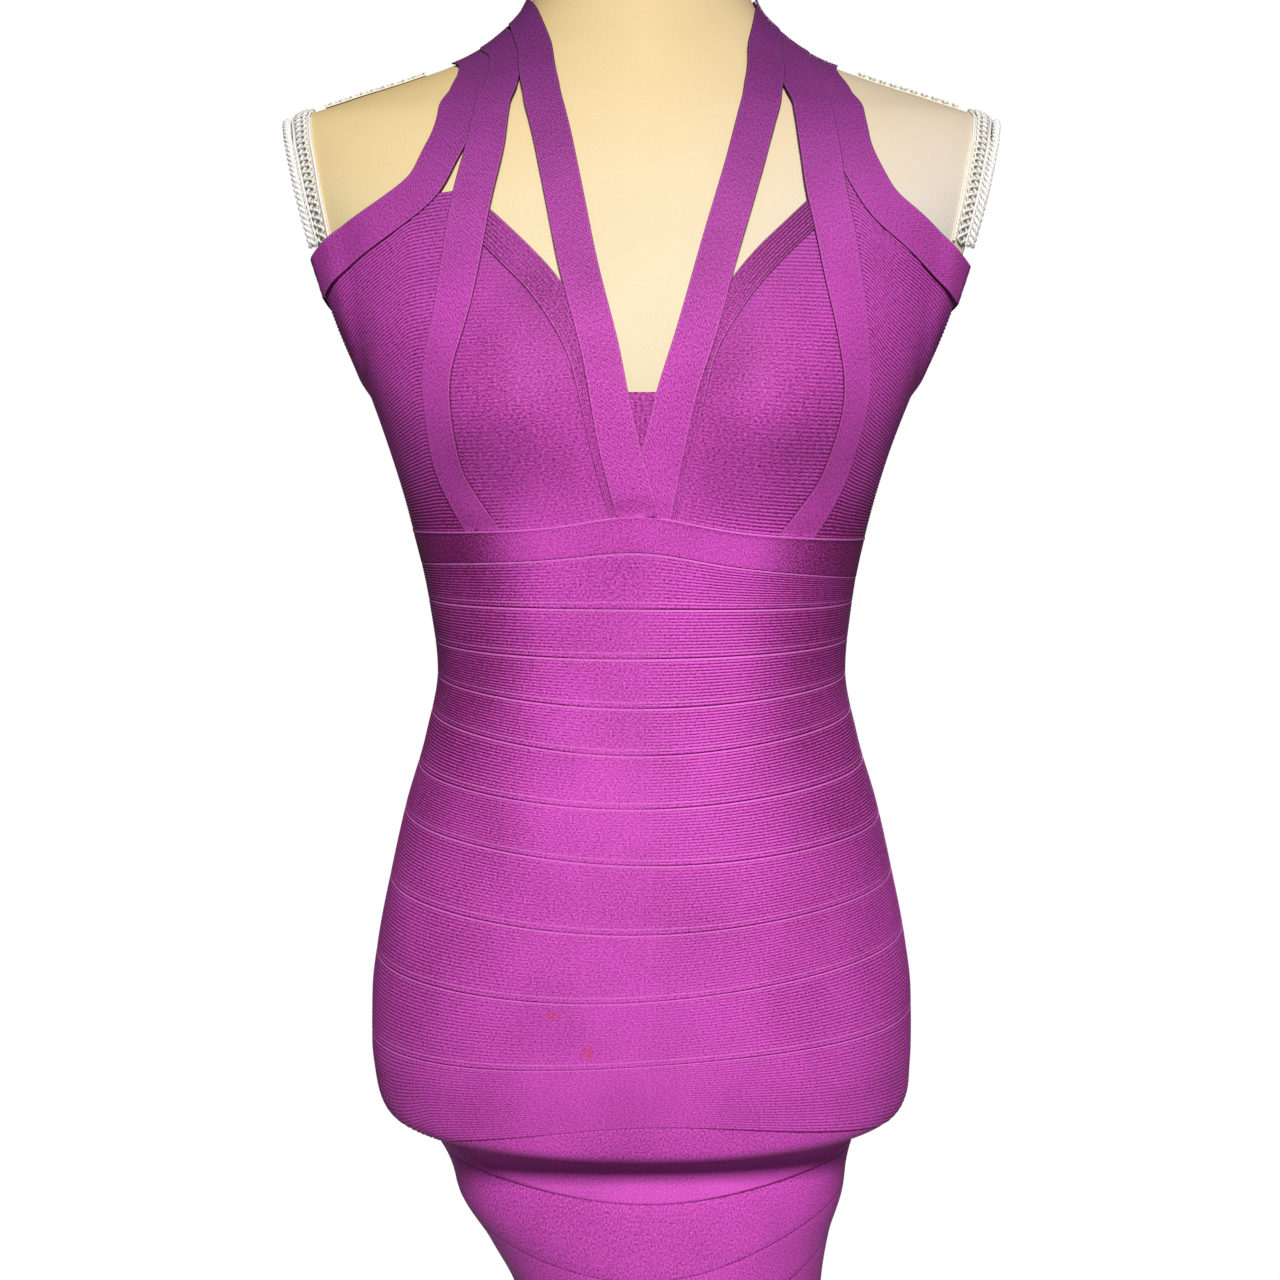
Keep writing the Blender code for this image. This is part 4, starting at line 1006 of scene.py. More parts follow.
# %% Lines of the straps
STRAP_COLUMNS = ("angle", "height", "width", "layer")
STRAPS = {
    "inner_strap_right": (
        (-95.0, 1.2310, 0.0185, 2.0),
        (-72.0, 1.2245, 0.0200, 2.0),
        (-48.0, 1.1928, 0.0205, 2.0),
        (-32.7, 1.1597, 0.0205, 1.0),
        (-24.0, 1.1210, 0.0205, 1.2),
        (-18.0, 1.0808, 0.0205, 2.0),
        (-12.0, 1.0407, 0.0210, 2.0),
        (-7.3, 1.0006, 0.0220, 2.0),
        (-1.3, 0.9597, 0.0225, 2.0),
        (1.3, 0.9400, 0.0225, 2.0),
    ),
    "inner_strap_left": (
        (95.0, 1.2310, 0.0190, 2.0),
        (75.0, 1.2215, 0.0205, 2.0),
        (56.7, 1.1950, 0.0215, 2.0),
        (40.7, 1.1646, 0.0210, 1.2),
        (30.7, 1.1301, 0.0205, 1.2),
        (22.7, 1.0928, 0.0205, 2.0),
        (16.7, 1.0562, 0.0215, 2.0),
        (13.2, 1.0350, 0.0220, 2.0),
        (10.0, 1.0170, 0.0220, 1.3),
        (8.0, 1.0000, 0.0220, 1.0),
        (5.5, 0.9800, 0.0225, 1.0),
        (1.8, 0.9420, 0.0225, 1.0),
    ),
    "middle_strap_right": (
        (-95.0, 1.2178, 0.0190, 1.0),
        (-70.0, 1.2060, 0.0195, 1.0),
        (-52.4, 1.1752, 0.0195, 1.2),
        (-46.5, 1.1393, 0.0215, 2.0),
        (-46.0, 1.1012, 0.0220, 2.0),
        (-47.3, 1.0611, 0.0220, 1.0),
        (-51.0, 1.0217, 0.0225, 1.0),
        (-51.3, 0.9822, 0.0225, 1.0),
        (-45.5, 0.9500, 0.0225, 1.0),
        (-43.0, 0.9380, 0.0225, 1.0),
    ),
    "middle_strap_left": (
        (95.0, 1.2175, 0.0195, 1.0),
        (74.0, 1.2040, 0.0215, 1.0),
        (59.3, 1.1800, 0.0215, 1.0),
        (52.0, 1.1500, 0.0225, 2.0),
        (49.3, 1.1188, 0.0225, 2.0),
        (50.0, 1.0829, 0.0225, 1.3),
        (52.0, 1.0470, 0.0225, 1.0),
        (54.3, 1.0104, 0.0225, 1.0),
        (52.7, 0.9752, 0.0225, 1.0),
        (45.5, 0.9450, 0.0225, 1.0),
        (43.0, 0.9350, 0.0225, 1.0),
    ),
    "outer_strap_right": (
        (-95.0, 1.2068, 0.0215, 0.0),
        (-80.0, 1.2035, 0.0225, 0.0),
        (-69.5, 1.1935, 0.0230, 0.0),
        (-60.7, 1.1745, 0.0225, 0.0),
        (-55.8, 1.1540, 0.0220, 0.4),
        (-55.6, 1.1310, 0.0210, 1.0),
        (-60.7, 1.1130, 0.0205, 1.0),
        (-67.3, 1.0995, 0.0205, 1.0),
        (-74.7, 1.0855, 0.0205, 2.0),
        (-82.0, 1.0760, 0.0205, 2.0),
        (-93.0, 1.0710, 0.0205, 1.7),
    ),
    "outer_strap_left": (
        (95.0, 1.2062, 0.0220, 0.0),
        (80.0, 1.2005, 0.0230, 0.0),
        (68.5, 1.1840, 0.0235, 0.0),
        (61.2, 1.1639, 0.0230, 0.0),
        (57.8, 1.1420, 0.0225, 0.6),
        (58.8, 1.1210, 0.0215, 1.0),
        (64.7, 1.1030, 0.0210, 1.0),
        (71.3, 1.0865, 0.0205, 2.0),
        (80.0, 1.0760, 0.0205, 2.0),
        (93.0, 1.0710, 0.0205, 1.7),
    ),
    "cup_binding_right": (
        (-45.5, 1.1110, 0.0160, 1.0),
        (-40.0, 1.1000, 0.0165, 1.0),
        (-34.0, 1.0875, 0.0170, 1.0),
        (-28.0, 1.0752, 0.0170, 1.0),
        (-22.0, 1.0580, 0.0160, 1.0),
        (-17.0, 1.0380, 0.0140, 1.0),
        (-12.6, 1.0006, 0.0105, 1.0),
        (-7.0, 0.9597, 0.0095, 1.0),
        (-4.6, 0.9410, 0.0095, 1.0),
    ),
    "cup_binding_left": (
        (47.5, 1.1150, 0.0135, 1.0),
        (40.5, 1.1005, 0.0135, 1.0),
        (35.0, 1.0893, 0.0140, 1.0),
        (29.6, 1.0770, 0.0140, 1.0),
        (23.0, 1.0590, 0.0140, 1.0),
        (17.5, 1.0400, 0.0135, 1.0),
        (13.3, 1.0000, 0.0105, 0.6),
        (10.8, 0.9800, 0.0100, 0.6),
        (7.2, 0.9410, 0.0095, 0.6),
    ),
}


print("lines of straps and bindings:", len(STRAPS))

# %% [markdown]
# The line is eased, as a tape takes no sharp corner, and the grid is walked out to both sides of
# it. The long edges are folded, with a fine dark line and a light one. The ends are trimmed at the
# shoulder line, where the neckband goes on, and at the seam under the bust. A strap lies flatter
# where it is pressed over the shoulder and where it is sewn in.

# %% Straps and bindings
STRAP_WIDTH, BINDING_WIDTH = 0.021, 0.014  # about, for their profiles
EASE = 0.010  # how far to each side the line of a strap is evened out
PRESSED, PRESSED_FROM, PRESSED_OVER, PRESSED_ABOVE = 0.6, 50, 40, 1.15  # share, degrees, height
SEWN_IN, SEWN_OVER = 0.8, 0.012  # share, and over what height above the seam


def above_band(angle, height):
    """Trims a strap along the top of the underbust band."""
    return np.maximum(height, seam_height("bust", angle) - LAPPED)


def strap(node, table, across, rows):
    """A strip along a line, trimmed at the shoulder line and at the underbust band."""
    tape = read_table(STRAP_COLUMNS, table)
    angle, height = np.radians(tape["angle"]), tape["height"]
    line = body(angle, height, False)
    knots = lengths(line)

    def middle(at):
        """Angle and height of the eased middle line, at a length along it."""
        near = at + np.linspace(-EASE, EASE, 7)[:, None]
        return curve(knots, angle, near).mean(axis=0), curve(knots, height, near).mean(axis=0)

    def over(u, v):
        """Angle and height at a share across the strap and a share along it."""
        at = v * knots[-1]
        here, ahead, behind = middle(at), middle(at + 1e-3), middle(at - 1e-3)
        forward = unit(body(*ahead, False) - body(*behind, False))
        sideways = unit(np.cross(forward, outward(*here, False)))
        return walk(*here, sideways, (u - 0.5) * curve(knots, tape["width"], at))

    def trimmed(u, end):
        """How far towards an end each line along the strap stays in front of the shoulder line."""
        kept, past = np.full(u.shape, 0.5), np.full(u.shape, float(end))
        for _ in range(24):
            half = (kept + past) / 2
            behind = np.abs(over(u, half)[0]) > math.radians(SIDE_ANGLE)
            kept, past = np.where(behind, kept, half), np.where(behind, half, past)
        return kept

    def place(u, v, lift):
        lines, which = np.unique(u.round(9), return_inverse=True)
        first, last = trimmed(lines, 0)[which], trimmed(lines, 1)[which]
        share = first + v * (last - first)
        turn, level = over(u, share)
        aside = smoothstep((np.degrees(np.abs(turn)) - PRESSED_FROM) / PRESSED_OVER)
        pressed = PRESSED * aside * (level > PRESSED_ABOVE)
        above = level - seam_height("bust", turn)
        sewn_in = SEWN_IN * (1 - smoothstep(above / SEWN_OVER))
        depth = curve(knots, tape["layer"], share * knots[-1]) * (1 - np.maximum(pressed, sewn_in))
        return worn(turn, above_band(turn, level), CLEAR + LAYER * depth + lift)

    return cloth(node, across, plain(knots[-1], rows, cut_off, cut_off), place,
                 RIBBED if "binding" in node else TAPE)


for node, table in STRAPS.items():
    if "binding" in node:
        strap(node, table, ribbed(BINDING_WIDTH, 7, bound, bound, groove=-1.2), 90)
    else:
        strap(node, table, plain(STRAP_WIDTH, 7, bound, bound), 130)
print("straps and bindings:", len(STRAPS), "triangles so far:", triangles)

# %% [markdown]
# ## The back
#
# Seen from behind, the dress goes up in level ribbed bands to a straight upper edge under the
# shoulder blades, and the straps meet in a band behind the neck. All of it is cut from the same
# knit, so it needs nothing but its heights.

# %% Back bands and neckband
BACK_SEAMS = (0.9705, 1.0005, 1.0305, 1.0605)
BACK_TOP = 1.0820
BACK_BAND_HEIGHT, EDGE_BAND_HEIGHT, NECKBAND_HEIGHT = 0.030, 0.0215, 0.031
BACK_PLATE_AT = 6 / 7  # where, from the middle of a back band to its end, the plate's edge lies
FURTHEST_CORNER = 0.93  # of the way from the middle of the back to the side seam
CROWDED = 0.25  # how much closer together the columns lie towards the plate
NECKBAND_COLUMNS = ("angle", "low", "high")
NECKBAND = (
    (90.02, 1.2026, 1.2365),
    (97.0, 1.2045, 1.2370),
    (110.0, 1.2080, 1.2380),
    (140.0, 1.2110, 1.2410),
    (180.0, 1.2120, 1.2430),
)


def back_panel(node, low, high, low_gap, high_gap, rows, material=RIBBED):
    """A band of the back, from side seam to side seam. low and high give its heights."""

    def place(u, v, lift):
        off = 2 * u - 1
        straight = math.pi + math.radians(SIDE_ANGLE) * off
        bottom, top = low(straight) + low_gap, high(straight) - high_gap
        level = bottom + v * (top - bottom)
        corner = np.minimum(arm_corner(level, True), FURTHEST_CORNER * SIDE_ANGLE)
        beyond = (np.abs(off) - BACK_PLATE_AT) / (1 - BACK_PLATE_AT)
        past = corner + beyond * (SIDE_ANGLE - corner)
        even = np.abs(off) / BACK_PLATE_AT
        before = corner * ((1 + CROWDED) * even - CROWDED * even**3)
        turn = np.where(even <= 1 + 1e-6, before, past)
        return worn(math.pi + np.sign(off) * np.radians(turn), level, CLEAR + lift)

    return cloth(node, level_columns(84), rows, place, material)


def bust_seam(angle):
    """Height of the seam under the bust."""
    return seam_height("bust", angle)


def level_seam(height):
    """A seam that lies at one height all along, for any angles."""
    return lambda angle: np.full(angle.shape, height)


levels = [bust_seam] + [level_seam(height) for height in (*BACK_SEAMS, BACK_TOP)]
for i in range(4):
    back_panel(f"back_band_{i + 1:02d}", levels[i], levels[i + 1], JOIN / 2 if i else -LAPPED,
               JOIN / 2, ribbed(BACK_BAND_HEIGHT, BACK_RIBS, stitched=1))
back_panel("back_edge_band", levels[4], levels[5], JOIN / 2, 0.0, plain(EDGE_BAND_HEIGHT, 8), TAPE)


def neckband_place(u, v, lift):
    """Points of the neckband, from the right shoulder line round the back to the left."""
    edges = read_table(NECKBAND_COLUMNS, NECKBAND)
    turn = (u - 0.5) * 2 * (180 - NECKBAND[0][0])
    from_front = 180 - np.abs(turn)
    bottom = curve(edges["angle"], edges["low"], from_front)
    top = curve(edges["angle"], edges["high"], from_front)
    return worn(np.radians(180 + turn), bottom + v * (top - bottom), CLEAR + lift)


cloth("neckband", level_columns(72), plain(NECKBAND_HEIGHT, 12, bound, bound), neckband_place,
      TAPE)
print("sheets:", len(sheets), "triangles so far:", triangles)

# %% [markdown]
# ## The form's cover
#
# Dress forms are covered in a fine cream jersey, pulled tight and pinned under the braid. It is
# matt and nearly plain, but its fine knit and some unevenness keep it from looking like plastic.
# Its colour also carries painted light: the cover is yellower on its right side and bluer on its
# left, as under a warm lamp and a cool one, and darker and yellower at the neck as painted shade.

# %% Jersey, canvas and braid finishes
COVER_LEFT_LIGHT, COVER_RIGHT_LIGHT = (0.96, 1.02, 1.36), (1.04, 1.0, 0.86)  # painted light of a cool lamp on the left and a warm one on the right: what the colour is multiplied by
# painted shade at the neck: what the colour is multiplied by there
COVER_NECK_SHADE = (0.93, 0.82, 0.63)
PAINTED_LIGHT_ASIDE, PAINTED_LIGHT_UP = 0.17, (1.06, 1.22)  # distance to the side, and heights, where the painted light and shade come in


def jersey(name, light, dark, scale=1500.0, painted_light=False):
    """A fine matt knit between two close colours. With painted_light, it gets painted light at its
    sides and painted shade at the neck.
    """
    cover = Finish(name, specular_ior_level=0.25)
    point = cover.place()
    loops = cover.noise(point, scale, 2.0)
    cloud = cover.noise(point, 9.0, 3.0)
    colour = cover.mix(cover.between(0.45 * loops + 0.55 * cloud, 0.32, 0.70), dark, light)
    if painted_light:
        # Painted light: cooler on the left, warmer on the right; painted shade at the neck.
        aside, up = (cover.node("SeparateXYZ", sockets={0: point}, out=axis) for axis in "XZ")
        colour = cover.tinted(cover.between(aside, 0.0, PAINTED_LIGHT_ASIDE), colour, COVER_LEFT_LIGHT)
        colour = cover.tinted(cover.between(-1.0 * aside, 0.0, PAINTED_LIGHT_ASIDE), colour, COVER_RIGHT_LIGHT)
        colour = cover.tinted(cover.between(up, *PAINTED_LIGHT_UP), colour, COVER_NECK_SHADE)
    return cover.shade(
        base_color=colour,
        roughness=0.80 + 0.15 * loops,
        normal=cover.bump(loops, 0.0003, 0.5),
    )


def thread(name, light, dark):
    """Twisted yarn: painted light on top of the twist and painted shade between, with some soil. Its
    map runs along the cord.
    """
    yarn = Finish(name, roughness=0.6, specular_ior_level=0.4)
    twist = yarn.node("TexWave", {"bands_direction": "DIAGONAL"},
                      {"Vector": yarn.weave(), "Scale": 260.0, "Distortion": 1.0})
    soil = yarn.noise(yarn.place(), 260.0, 3.0)
    return yarn.shade(
        # The twist paints light on each strand's top and shade between strands; soil adds uneven dirt.
        base_color=yarn.mix(0.6 * twist + 0.4 * soil, dark, light),
        roughness=0.5 + 0.2 * soil,
        normal=yarn.bump(twist, 0.0003, 0.6),
    )


COVER = jersey("cover_jersey", (0.66, 0.57, 0.395), (0.60, 0.51, 0.34), painted_light=True)
PLATE = jersey("plate_canvas", (0.80, 0.74, 0.62), (0.66, 0.60, 0.48), 700.0)
CORD = thread("braid_cord", (0.90, 0.89, 0.87), (0.52, 0.49, 0.45))
TAPE_BASE = jersey("braid_tape", (0.78, 0.71, 0.56), (0.62, 0.56, 0.44), 1100.0)
print("form finishes:", [m.name for m in (COVER, PLATE, CORD, TAPE_BASE)])

# %% [markdown]
# The torso is a loft: the same grid as the cloth's, wrapped into a tube. It is closed at the neck
# and the foot, and **bisect_plane** saws off the arms, as the form's maker does. The two open
# cuts are then filled flat.

# %% Torso
def tube_grid(across, up):
    """A grid of a tube's columns and rows, and the share of each point round and up it."""
    bm = bmesh.new()
    bmesh.ops.create_grid(bm, x_segments=across, y_segments=up, size=0.5)
    shares = np.array([vert.co[:2] for vert in bm.verts]) + 0.5
    return bm, shares


def move_to(verts, points):
    """Moves each vertex to its point."""
    for vert, point in zip(verts, points):
        vert.co = point


def close_ends(bm):
    """Merges the tube's seam and fills its open ends."""
    bmesh.ops.remove_doubles(bm, verts=bm.verts, dist=1e-6)
    ends = [edge for edge in bm.edges if edge.is_boundary]
    return bmesh.ops.edgeloop_fill(bm, edges=ends)["faces"]


TORSO_COLUMNS, TORSO_ROWS = 144, 150
bm, shares = tube_grid(TORSO_COLUMNS, TORSO_ROWS)
levels_up = FORM_BOTTOM + shares[:, 1] * (FORM_TOP - FORM_BOTTOM)
move_to(bm.verts, body(2 * math.pi * shares[:, 0], levels_up, False))
close_ends(bm)
for side in (-1, 1):
    cut = bmesh.ops.bisect_plane(
        bm,
        geom=bm.verts[:] + bm.edges[:] + bm.faces[:],
        plane_co=(side * PLATE_X, 0, PLATE_Z),
        plane_no=(side, 0, -PLATE_SLOPE),
        clear_outer=True,
    )
    rim = [part for part in cut["geom_cut"] if isinstance(part, bmesh.types.BMEdge)]
    bmesh.ops.edgeloop_fill(bm, edges=rim)
add_piece("torso_cover", bm, COVER, ["form_torso"], sharp=40)
print("torso:", round(FORM_TOP - FORM_BOTTOM, 3), "m high; triangles so far:", triangles)

# %% [markdown]
# The arm plates are thin boards covered in canvas, a little smaller than the cut, and the neck
# ends in a cap of the same. Both start as a filled circle whose points are moved onto the
# outline, extruded once, with the upper edge bevelled.

# %% Arm plates and neck cap
PLATE_RIM = 0.80  # size of the plate against the cut it covers
PLATE_THICK, PLATE_BEVEL, CAP_THICK, CAP_BEVEL = 0.0016, 0.0006, 0.010, 0.003
BOARD_TURNS = np.linspace(0, 2 * math.pi, 96, endpoint=False)


def board(name, outline, out, thick, edge, material, node):
    """A flat board: a circle moved onto its outline, extruded and bevelled."""
    bm = bmesh.new()
    bmesh.ops.create_circle(bm, cap_ends=True, segments=len(outline), radius=1)
    move_to(bm.verts, outline)
    raised = bmesh.ops.extrude_face_region(bm, geom=bm.faces[:])["geom"]
    top = [part for part in raised if isinstance(part, bmesh.types.BMVert)]
    bmesh.ops.translate(bm, verts=top, vec=thick * out)
    rim = [side for side in bm.edges if all(vert in top for vert in side.verts)]
    bmesh.ops.bevel(bm, geom=rim, affect="EDGES", offset=edge, segments=3, profile=0.5, material=-1)
    return add_piece(name, bm, material, [node], sharp=40)


for side, word in ((-1, "right"), (1, "left")):
    edge = laid(*arm_edge(side, BOARD_TURNS), 0.0, False)
    middle, out = edge.mean(axis=0), unit(np.array([side, 0.0, -PLATE_SLOPE]))
    board(f"arm_plate_{word}_board", middle + PLATE_RIM * (edge - middle) + SEAM * out, out,
          PLATE_THICK, PLATE_BEVEL, PLATE, f"arm_plate_{word}")
neck = body(BOARD_TURNS, FORM_TOP, False)
board("neck_cap_board", neck + (0, 0, SEAM), np.array([0, 0, 1.0]), CAP_THICK, CAP_BEVEL, PLATE,
      "neck_cap")
print(f"neck cap: {np.ptp(neck[:, 0]) * 1000:.0f} mm wide; triangles so far: {triangles}")

# %% [markdown]
# ## Braid and cord
#
# The raw edge at each arm is trimmed with a gimp braid: a flat tape with a row of scrolls between
# two fine cords, and outside it a thick cord of two twisted strands. A cord here is a grid wrapped
# round a path. The scrolls are two such cords that swing from side to side in step against each
# other, so that they cross and make a chain of loops.

# %% Cord maker
def read_at(at, knots, rows):
    """Rows of numbers, such as points, read at other places than their own knots."""
    return np.stack([np.interp(at, knots, column) for column in np.atleast_2d(rows.T)], -1)


def cord(name, path, out, radius, sides, material):
    """A round cord along a path, whose sides keep facing along out."""
    ahead = unit(np.gradient(path, axis=0))
    aside = unit(np.cross(ahead, out))
    up = np.cross(aside, ahead)
    length = lengths(path)
    bm, shares = tube_grid(sides, len(path) - 1)
    weave = bm.loops.layers.uv.new("weave")
    row = np.round(shares[:, 1] * (len(path) - 1)).astype(int)
    for face in bm.faces:
        for loop in face.loops:
            share = loop.vert.co.x + 0.5
            at = length[round((loop.vert.co.y + 0.5) * (len(path) - 1))]
            loop[weave].uv = (at, share * 2 * math.pi * radius)
    turn = 2 * math.pi * shares[:, :1]
    move_to(bm.verts, path[row] + radius * (np.cos(turn) * aside[row] + np.sin(turn) * up[row]))
    close_ends(bm)
    return add_piece(name, bm, material, sharp=60)

# %% [markdown]
# Only the part of the braid above the dress shows, from the front of the shoulder over its top to
# the back. Its tape goes all the way round, under the cloth.

# %% Arm braids
TAPE_THICK, TAPE_LIFT = 0.0007, 0.0004
ARC = np.linspace(-0.20, math.pi + 0.14, 400)  # turns of the arm edge that the dress leaves bare
BORDERS = {"outer": 0.0020, "inner": 0.0130}  # the border cords' distances from the arm edge
BORDER, BORDER_LIFT, BORDER_STEP = 0.0007, 0.0016, 0.003
SCROLL, SCROLL_LIFT, SCROLL_OVER = 0.0008, 0.0019, 0.0004
SCROLL_PITCH, SCROLL_SWING, SCROLL_AT = 0.0084, 0.0031, 0.0074
TWIST_PITCH, TWIST_LIFT, STRAND = 0.0072, 0.0006, 0.00125
CORD_STEP = SCROLL_PITCH / 14  # from one ring of a cord's points to the next
OPPOSITE = (("a", 0.0), ("b", math.pi))  # the phases of two strands that go against each other


def braid_frame(side, turns):
    """Points of the arm edge, the way inwards over the cover, and the way out of it."""
    angle, height = arm_edge(side, turns)
    line = body(angle, height, False)
    out = outward(angle, height, False)
    inward = unit(np.cross(unit(np.gradient(line, axis=0)), out))
    if (inward[:, 0] * side).mean() > 0:
        inward = -inward
    return angle, height, line, inward, out


def braid_tape(side, word, steps=120):
    """The tape under an arm's braid, all the way round."""
    bm, shares = tube_grid(steps, 2)
    angle, height, _, inward, _ = braid_frame(side, 2 * math.pi * np.arange(steps + 1) / steps)
    i = np.round(shares[:, 0] * steps).astype(int) % steps
    turn, level = walk(angle[i], height[i], inward[i], SEAM + shares[:, 1] * BRAID_WIDTH)
    move_to(bm.verts, laid(turn, level, TAPE_LIFT, False))
    bmesh.ops.remove_doubles(bm, verts=bm.verts, dist=1e-6)
    bmesh.ops.recalc_face_normals(bm, faces=bm.faces)
    bmesh.ops.solidify(bm, geom=bm.faces[:], thickness=TAPE_THICK)
    add_piece(f"arm_braid_{word}_tape", bm, TAPE_BASE, [f"arm_braid_{word}"], sharp=50)


def border_cord(side, word, name, distance):
    """A fine cord over the tape, at a distance from the arm edge."""
    angle, height, _, inward, _ = braid_frame(side, ARC)
    turn, level = walk(angle, height, inward, distance)
    line, out = laid(turn, level, BORDER_LIFT, False), outward(turn, level, False)
    length = lengths(line)
    count = round(length[-1] / BORDER_STEP) + 1
    path = read_at(np.linspace(0, length[-1], count), length, line)
    facing = unit(read_at(np.linspace(0, 1, count), np.linspace(0, 1, len(out)), out))
    cord(f"arm_braid_{word}_{name}_cord", path, facing, BORDER, 8, CORD)


def scrolls(side, word):
    """Two fine cords that swing against each other and cross, along the middle of the tape."""
    angle, height, line, inward, _ = braid_frame(side, ARC)
    length = lengths(line)
    at = np.linspace(0, length[-1], round(length[-1] / CORD_STEP))
    angle_at, height_at = np.interp(at, length, angle), np.interp(at, length, height)
    inward_at = unit(read_at(at, length, inward))
    for strand, phase in OPPOSITE:
        swing = np.sin(2 * math.pi * at / SCROLL_PITCH + phase)
        over = np.cos(2 * math.pi * at / SCROLL_PITCH + phase)
        turn, level = walk(angle_at, height_at, inward_at, SCROLL_AT + SCROLL_SWING * swing)
        path = laid(turn, level, SCROLL_LIFT + SCROLL_OVER * over, False)
        cord(f"arm_braid_{word}_scroll_{strand}", path, outward(turn, level, False), SCROLL, 6,
             CORD)


def twisted_cord(side, word):
    """The thick cord outside the tape, of two strands. Gives how long its line is."""
    _, _, line, _, out = braid_frame(side, ARC)
    length = lengths(line)
    at = np.linspace(0, length[-1], round(length[-1] / CORD_STEP))
    plate_out = unit(np.array([side, 0.0, -PLATE_SLOPE]))
    core = read_at(at, length, line) + (2.2 * STRAND) * plate_out
    core = core + TWIST_LIFT * unit(read_at(at, length, out))
    ahead = unit(np.gradient(core, axis=0))
    first = unit(np.cross(ahead, plate_out))
    second = np.cross(first, ahead)
    for strand, phase in OPPOSITE:
        turn = (2 * math.pi * at / TWIST_PITCH + phase)[:, None]
        path = core + 1.02 * STRAND * (np.cos(turn) * first + np.sin(turn) * second)
        cord(f"arm_braid_{word}_twist_{strand}", path, first, STRAND, 8, CORD)
    return length[-1]


for side, word in ((-1, "right"), (1, "left")):
    braid_tape(side, word)
    for name, distance in BORDERS.items():
        border_cord(side, word, name, distance)
    scrolls(side, word)
    braided = twisted_cord(side, word)
print(f"braid round {braided * 1000:.0f} mm of each arm; triangles so far: {triangles}")

# %% [markdown]
# A finer braid follows the seam of the cover over each shoulder and up the side of the neck. It
# is a narrow tape with one cord that zigzags over it.

# %% Seam braids
SEAM_BRAIDS = {"shoulder": (1.1780, 1.1960), "neck": (1.2400, 1.2840)}  # lower and upper ends
SEAM_TAPE, ZIGZAG_SWING, ZIGZAG_PITCH, ZIGZAG_STEP = 0.0075, 0.0027, 0.0062, 0.0006


def to_back(side, level, distance):
    """Angles and heights at a distance behind the shoulder seam, at heights along it."""
    back = np.broadcast_to([0.0, 1.0, 0.0], level.shape + (3,))
    return walk(np.full(level.shape, side * math.pi / 2), level, back, distance)


for side, word in ((-1, "right"), (1, "left")):
    for place, (low, high) in SEAM_BRAIDS.items():
        bm, shares = tube_grid(2, 12)
        level = low + shares[:, 1] * (high - low)
        turn, up = to_back(side, level, (shares[:, 0] - 0.5) * SEAM_TAPE)
        move_to(bm.verts, laid(turn, up, TAPE_LIFT, False))
        bmesh.ops.recalc_face_normals(bm, faces=bm.faces)
        bmesh.ops.solidify(bm, geom=bm.faces[:], thickness=TAPE_THICK)
        add_piece(f"{place}_braid_{word}_tape", bm, TAPE_BASE,
                  [f"{place}_braid_{word}"], sharp=50)

        level = np.linspace(low, high, 400)
        length = lengths(body(side * math.pi / 2, level, False))
        at = np.linspace(0, length[-1], round(length[-1] / ZIGZAG_STEP))
        swing = ZIGZAG_SWING * np.sin(2 * math.pi * at / ZIGZAG_PITCH)
        turn, up = to_back(side, np.interp(at, length, level), swing)
        cord(f"{place}_braid_{word}_cord", laid(turn, up, BORDER_LIFT, False),
             outward(turn, up, False), SCROLL, 6, CORD)
print(f"braid up {length[-1] * 1000:.0f} mm of the neck; triangles so far: {triangles}")

# %% [markdown]
# ## The stand
#
# A round foot, a pole and a flange under the form, all turned steel in a satin black. A turned
# piece is its profile, as radius and height, spun once round Z; **use_merge** closes the seam. The
# bevels are points of the profile, so the light catches every edge.

# %% Steel finish and turned pieces
def satin_steel():
    """Turned steel with a satin black coat."""
    steel = Finish("steel_satin_black", metallic=0.85, roughness=0.38)
    grain = steel.noise(steel.place(), 900.0, 2.0)
    cloud = steel.noise(steel.place(), 18.0, 3.0)
    return steel.shade(
        base_color=steel.mix(cloud, (0.030, 0.030, 0.034), (0.055, 0.055, 0.060)),
        roughness=0.30 + 0.16 * cloud,
        normal=steel.bump(grain, 0.00008, 0.4),
    )


STEEL = satin_steel()
POLE_RADIUS, FLANGE_RADIUS, FLANGE_THICK = 0.0125, 0.048, 0.006
BASE_RADIUS, BASE_EDGE, BASE_CROWN, BOSS_RADIUS, BOSS_TOP = 0.170, 0.010, 0.020, 0.026, 0.050
BASE_BEVEL, FLANGE_LOWER_BEVEL, FLANGE_UPPER_BEVEL = 0.003, 0.0015, 0.0010


def turned(node, profile, sides):
    """A turned piece: its profile, as (radius, height) from the foot up, spun round Z."""
    bm = bmesh.new()
    verts = [bm.verts.new((radius, 0, height)) for radius, height in profile]
    edges = [bm.edges.new(pair) for pair in zip(verts, verts[1:])]
    bmesh.ops.spin(bm, geom=verts + edges, cent=(0, 0, 0), axis=(0, 0, 1),
                   angle=2 * math.pi, steps=sides, use_merge=True)
    bmesh.ops.remove_doubles(bm, verts=bm.verts, dist=1e-6)
    add_piece(node + "_steel", bm, STEEL, [node], sharp=30)


def eased(radius, height, size, up=True):
    """Three points of a rounded outer edge, from the foot up: an upper edge or a lower one."""
    turns = (0.0, math.pi / 4, math.pi / 2)
    corner = [(radius - size + size * math.cos(t), size * math.sin(t)) for t in turns]
    if up:
        return [(r, height - size + z) for r, z in corner]
    return [(r, height + size - z) for r, z in reversed(corner)]


